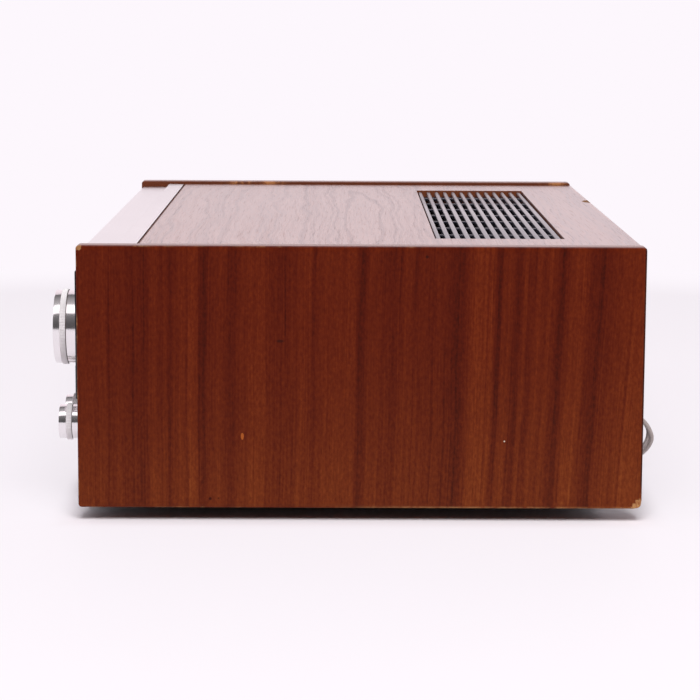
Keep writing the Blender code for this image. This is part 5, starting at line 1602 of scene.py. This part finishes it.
def makeTie():
    # a band round the coil, open at both ends
    low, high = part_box("cord_tie")
    shape = block(low, high)
    ends = [face for face in shape.faces if abs(face.normal.x) > 0.9]
    bmesh.ops.delete(shape, geom=ends, context="FACES_ONLY")
    corners = [edge for edge in shape.edges if len(edge.link_faces) == 2]
    rounded(shape, corners, tie["rounding"], 5)
    bmesh.ops.recalc_face_normals(shape, faces=shape.faces)
    middle = (low + high) / 2
    for face in shape.faces:
        if face.normal.dot(face.calc_center_median() - middle) < 0:
            face.normal_flip()
    bmesh.ops.solidify(shape, geom=shape.faces[:], thickness=tie["wall"])
    bmesh.ops.recalc_face_normals(shape, faces=shape.faces)
    return piece("coil_tie", shape, rubber, ("cord_tie",))


makeFeet()
plugBody, plugBlades = makePlug()
coilTie = makeTie()
print("feet, plug and tie are in")


# Inside the cabinet

boards = {                          # lacquer and copper
    "amplifier": (tone(92, 54, 24), tone(120, 74, 36)),
    "tone": (tone(92, 54, 24), tone(120, 74, 36)),
    "tuner": (tone(34, 76, 38), tone(48, 100, 52)),
}
components = [
    (0.0, tone(30, 30, 34)), (0.2, tone(176, 92, 40)), (0.4, tone(42, 72, 128)),
    (0.55, tone(196, 186, 150)), (0.7, tone(150, 40, 34)), (0.85, tone(176, 176, 170)),
    (1.0, tone(36, 92, 60)),
]


def boardPaint(kind):
    # lacquered board below, a scatter of components above
    paint, place, _, y, z = painting(f"{kind}Board")
    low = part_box(f"{kind}_board")[0]
    board = paint.mix(paint.noise(place, 260), *boards[kind])
    settings = {"Vector": place, "Scale": 62}
    cell = paint.node("ShaderNodeTexVoronoi", {"voronoi_dimensions": "2D"}, settings, "Color")
    scatter = paint.ramp(paint.axes(cell)[0], components)
    if kind == "tone":
        above = (y - low.y).between(0.0018, 0.0020)
    else:
        above = (z - low.z).between(0.0088, 0.0090)
    colour = paint.mix(above, board, scatter)
    return paint.finish(Base_Color=colour, Roughness=0.42 + paint.noise(place, 300) * 0.15)


def transformerPaint():
    # steel sheets across the middle, a dark shell on both sides
    paint, place, _, y, _ = painting("transformerSteel")
    low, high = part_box("power_transformer")
    core = abs(y - (low.y + high.y) / 2).between(0.0176, 0.0172)
    sheets = y.wave(0.0008)
    steel = paint.mix(sheets, tone(58, 56, 56), tone(104, 101, 99))
    shell = paint.mix(paint.noise(place, 120, 3), tone(28, 27, 30), tone(44, 42, 45))
    colour = paint.mix(core, shell, steel)
    paint.bump(sheets * core, 0.3, 0.0002)
    return paint.finish(Base_Color=colour, Roughness=0.5 - core * 0.1, Metallic=core * 0.7)


def canPaint():
    # blue sleeve with a pale band, bare top
    paint, place, _, _, z = painting("capacitorSleeve")
    low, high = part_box("filter_capacitor_1")
    fine = paint.noise(place, 300)
    sleeve = paint.mix(fine, tone(26, 44, 96), tone(36, 58, 118))
    band = abs(z - (low.z + 0.012)).between(0.0030, 0.0026)
    sleeve = paint.mix(band, sleeve, tone(206, 208, 210))
    top = (z - (high.z - 0.0011)).between(0.0, 0.0003)
    colour = paint.mix(top, sleeve, paint.mix(fine, tone(176, 176, 174), tone(206, 206, 204)))
    return paint.finish(Base_Color=colour, Roughness=0.34 + fine * 0.1, Metallic=top)


def sinkPaint():
    # drawn fins and the bare cans of the power transistors
    paint, place, x, y, z = painting("blackAnodised")
    fine = paint.noise(place, 900)
    fins = paint.mix(paint.grain(x * 2500, y * 2500, z * 8), tone(22, 22, 24), tone(38, 38, 41))
    cans = (y - (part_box("heat_sink")[0].y + 0.0068)).between(0.0002, 0.0)
    colour = paint.mix(cans, fins, paint.mix(fine, tone(150, 148, 142), tone(190, 188, 180)))
    return paint.finish(
        Base_Color=colour, Roughness=0.42 + fine * 0.1, Metallic=cans * 0.4 + 0.5
    )


for kind in boards:
    repaint(boardPaint(kind), f"{kind}_board")
repaint(transformerPaint(), "power_transformer")
repaint(canPaint(), "filter_capacitor_1", "filter_capacitor_2")
repaint(sinkPaint(), "heat_sink")
repaint(zinc, "chassis", "speaker_switch", "volume_control", "selector_switch", "tuning_capacitor")
repaint(nickel, "tuning_flywheel")
repaint(brushedPaint("rotorPlates", (214, 213, 210), 0.3, 80), "capacitor_rotor")
repaint(blackSatin, "power_switch")
print("inside: boards, transformer, cans and heat sink are painted")


cordPoints[::4] + [cordPoints[-1]]
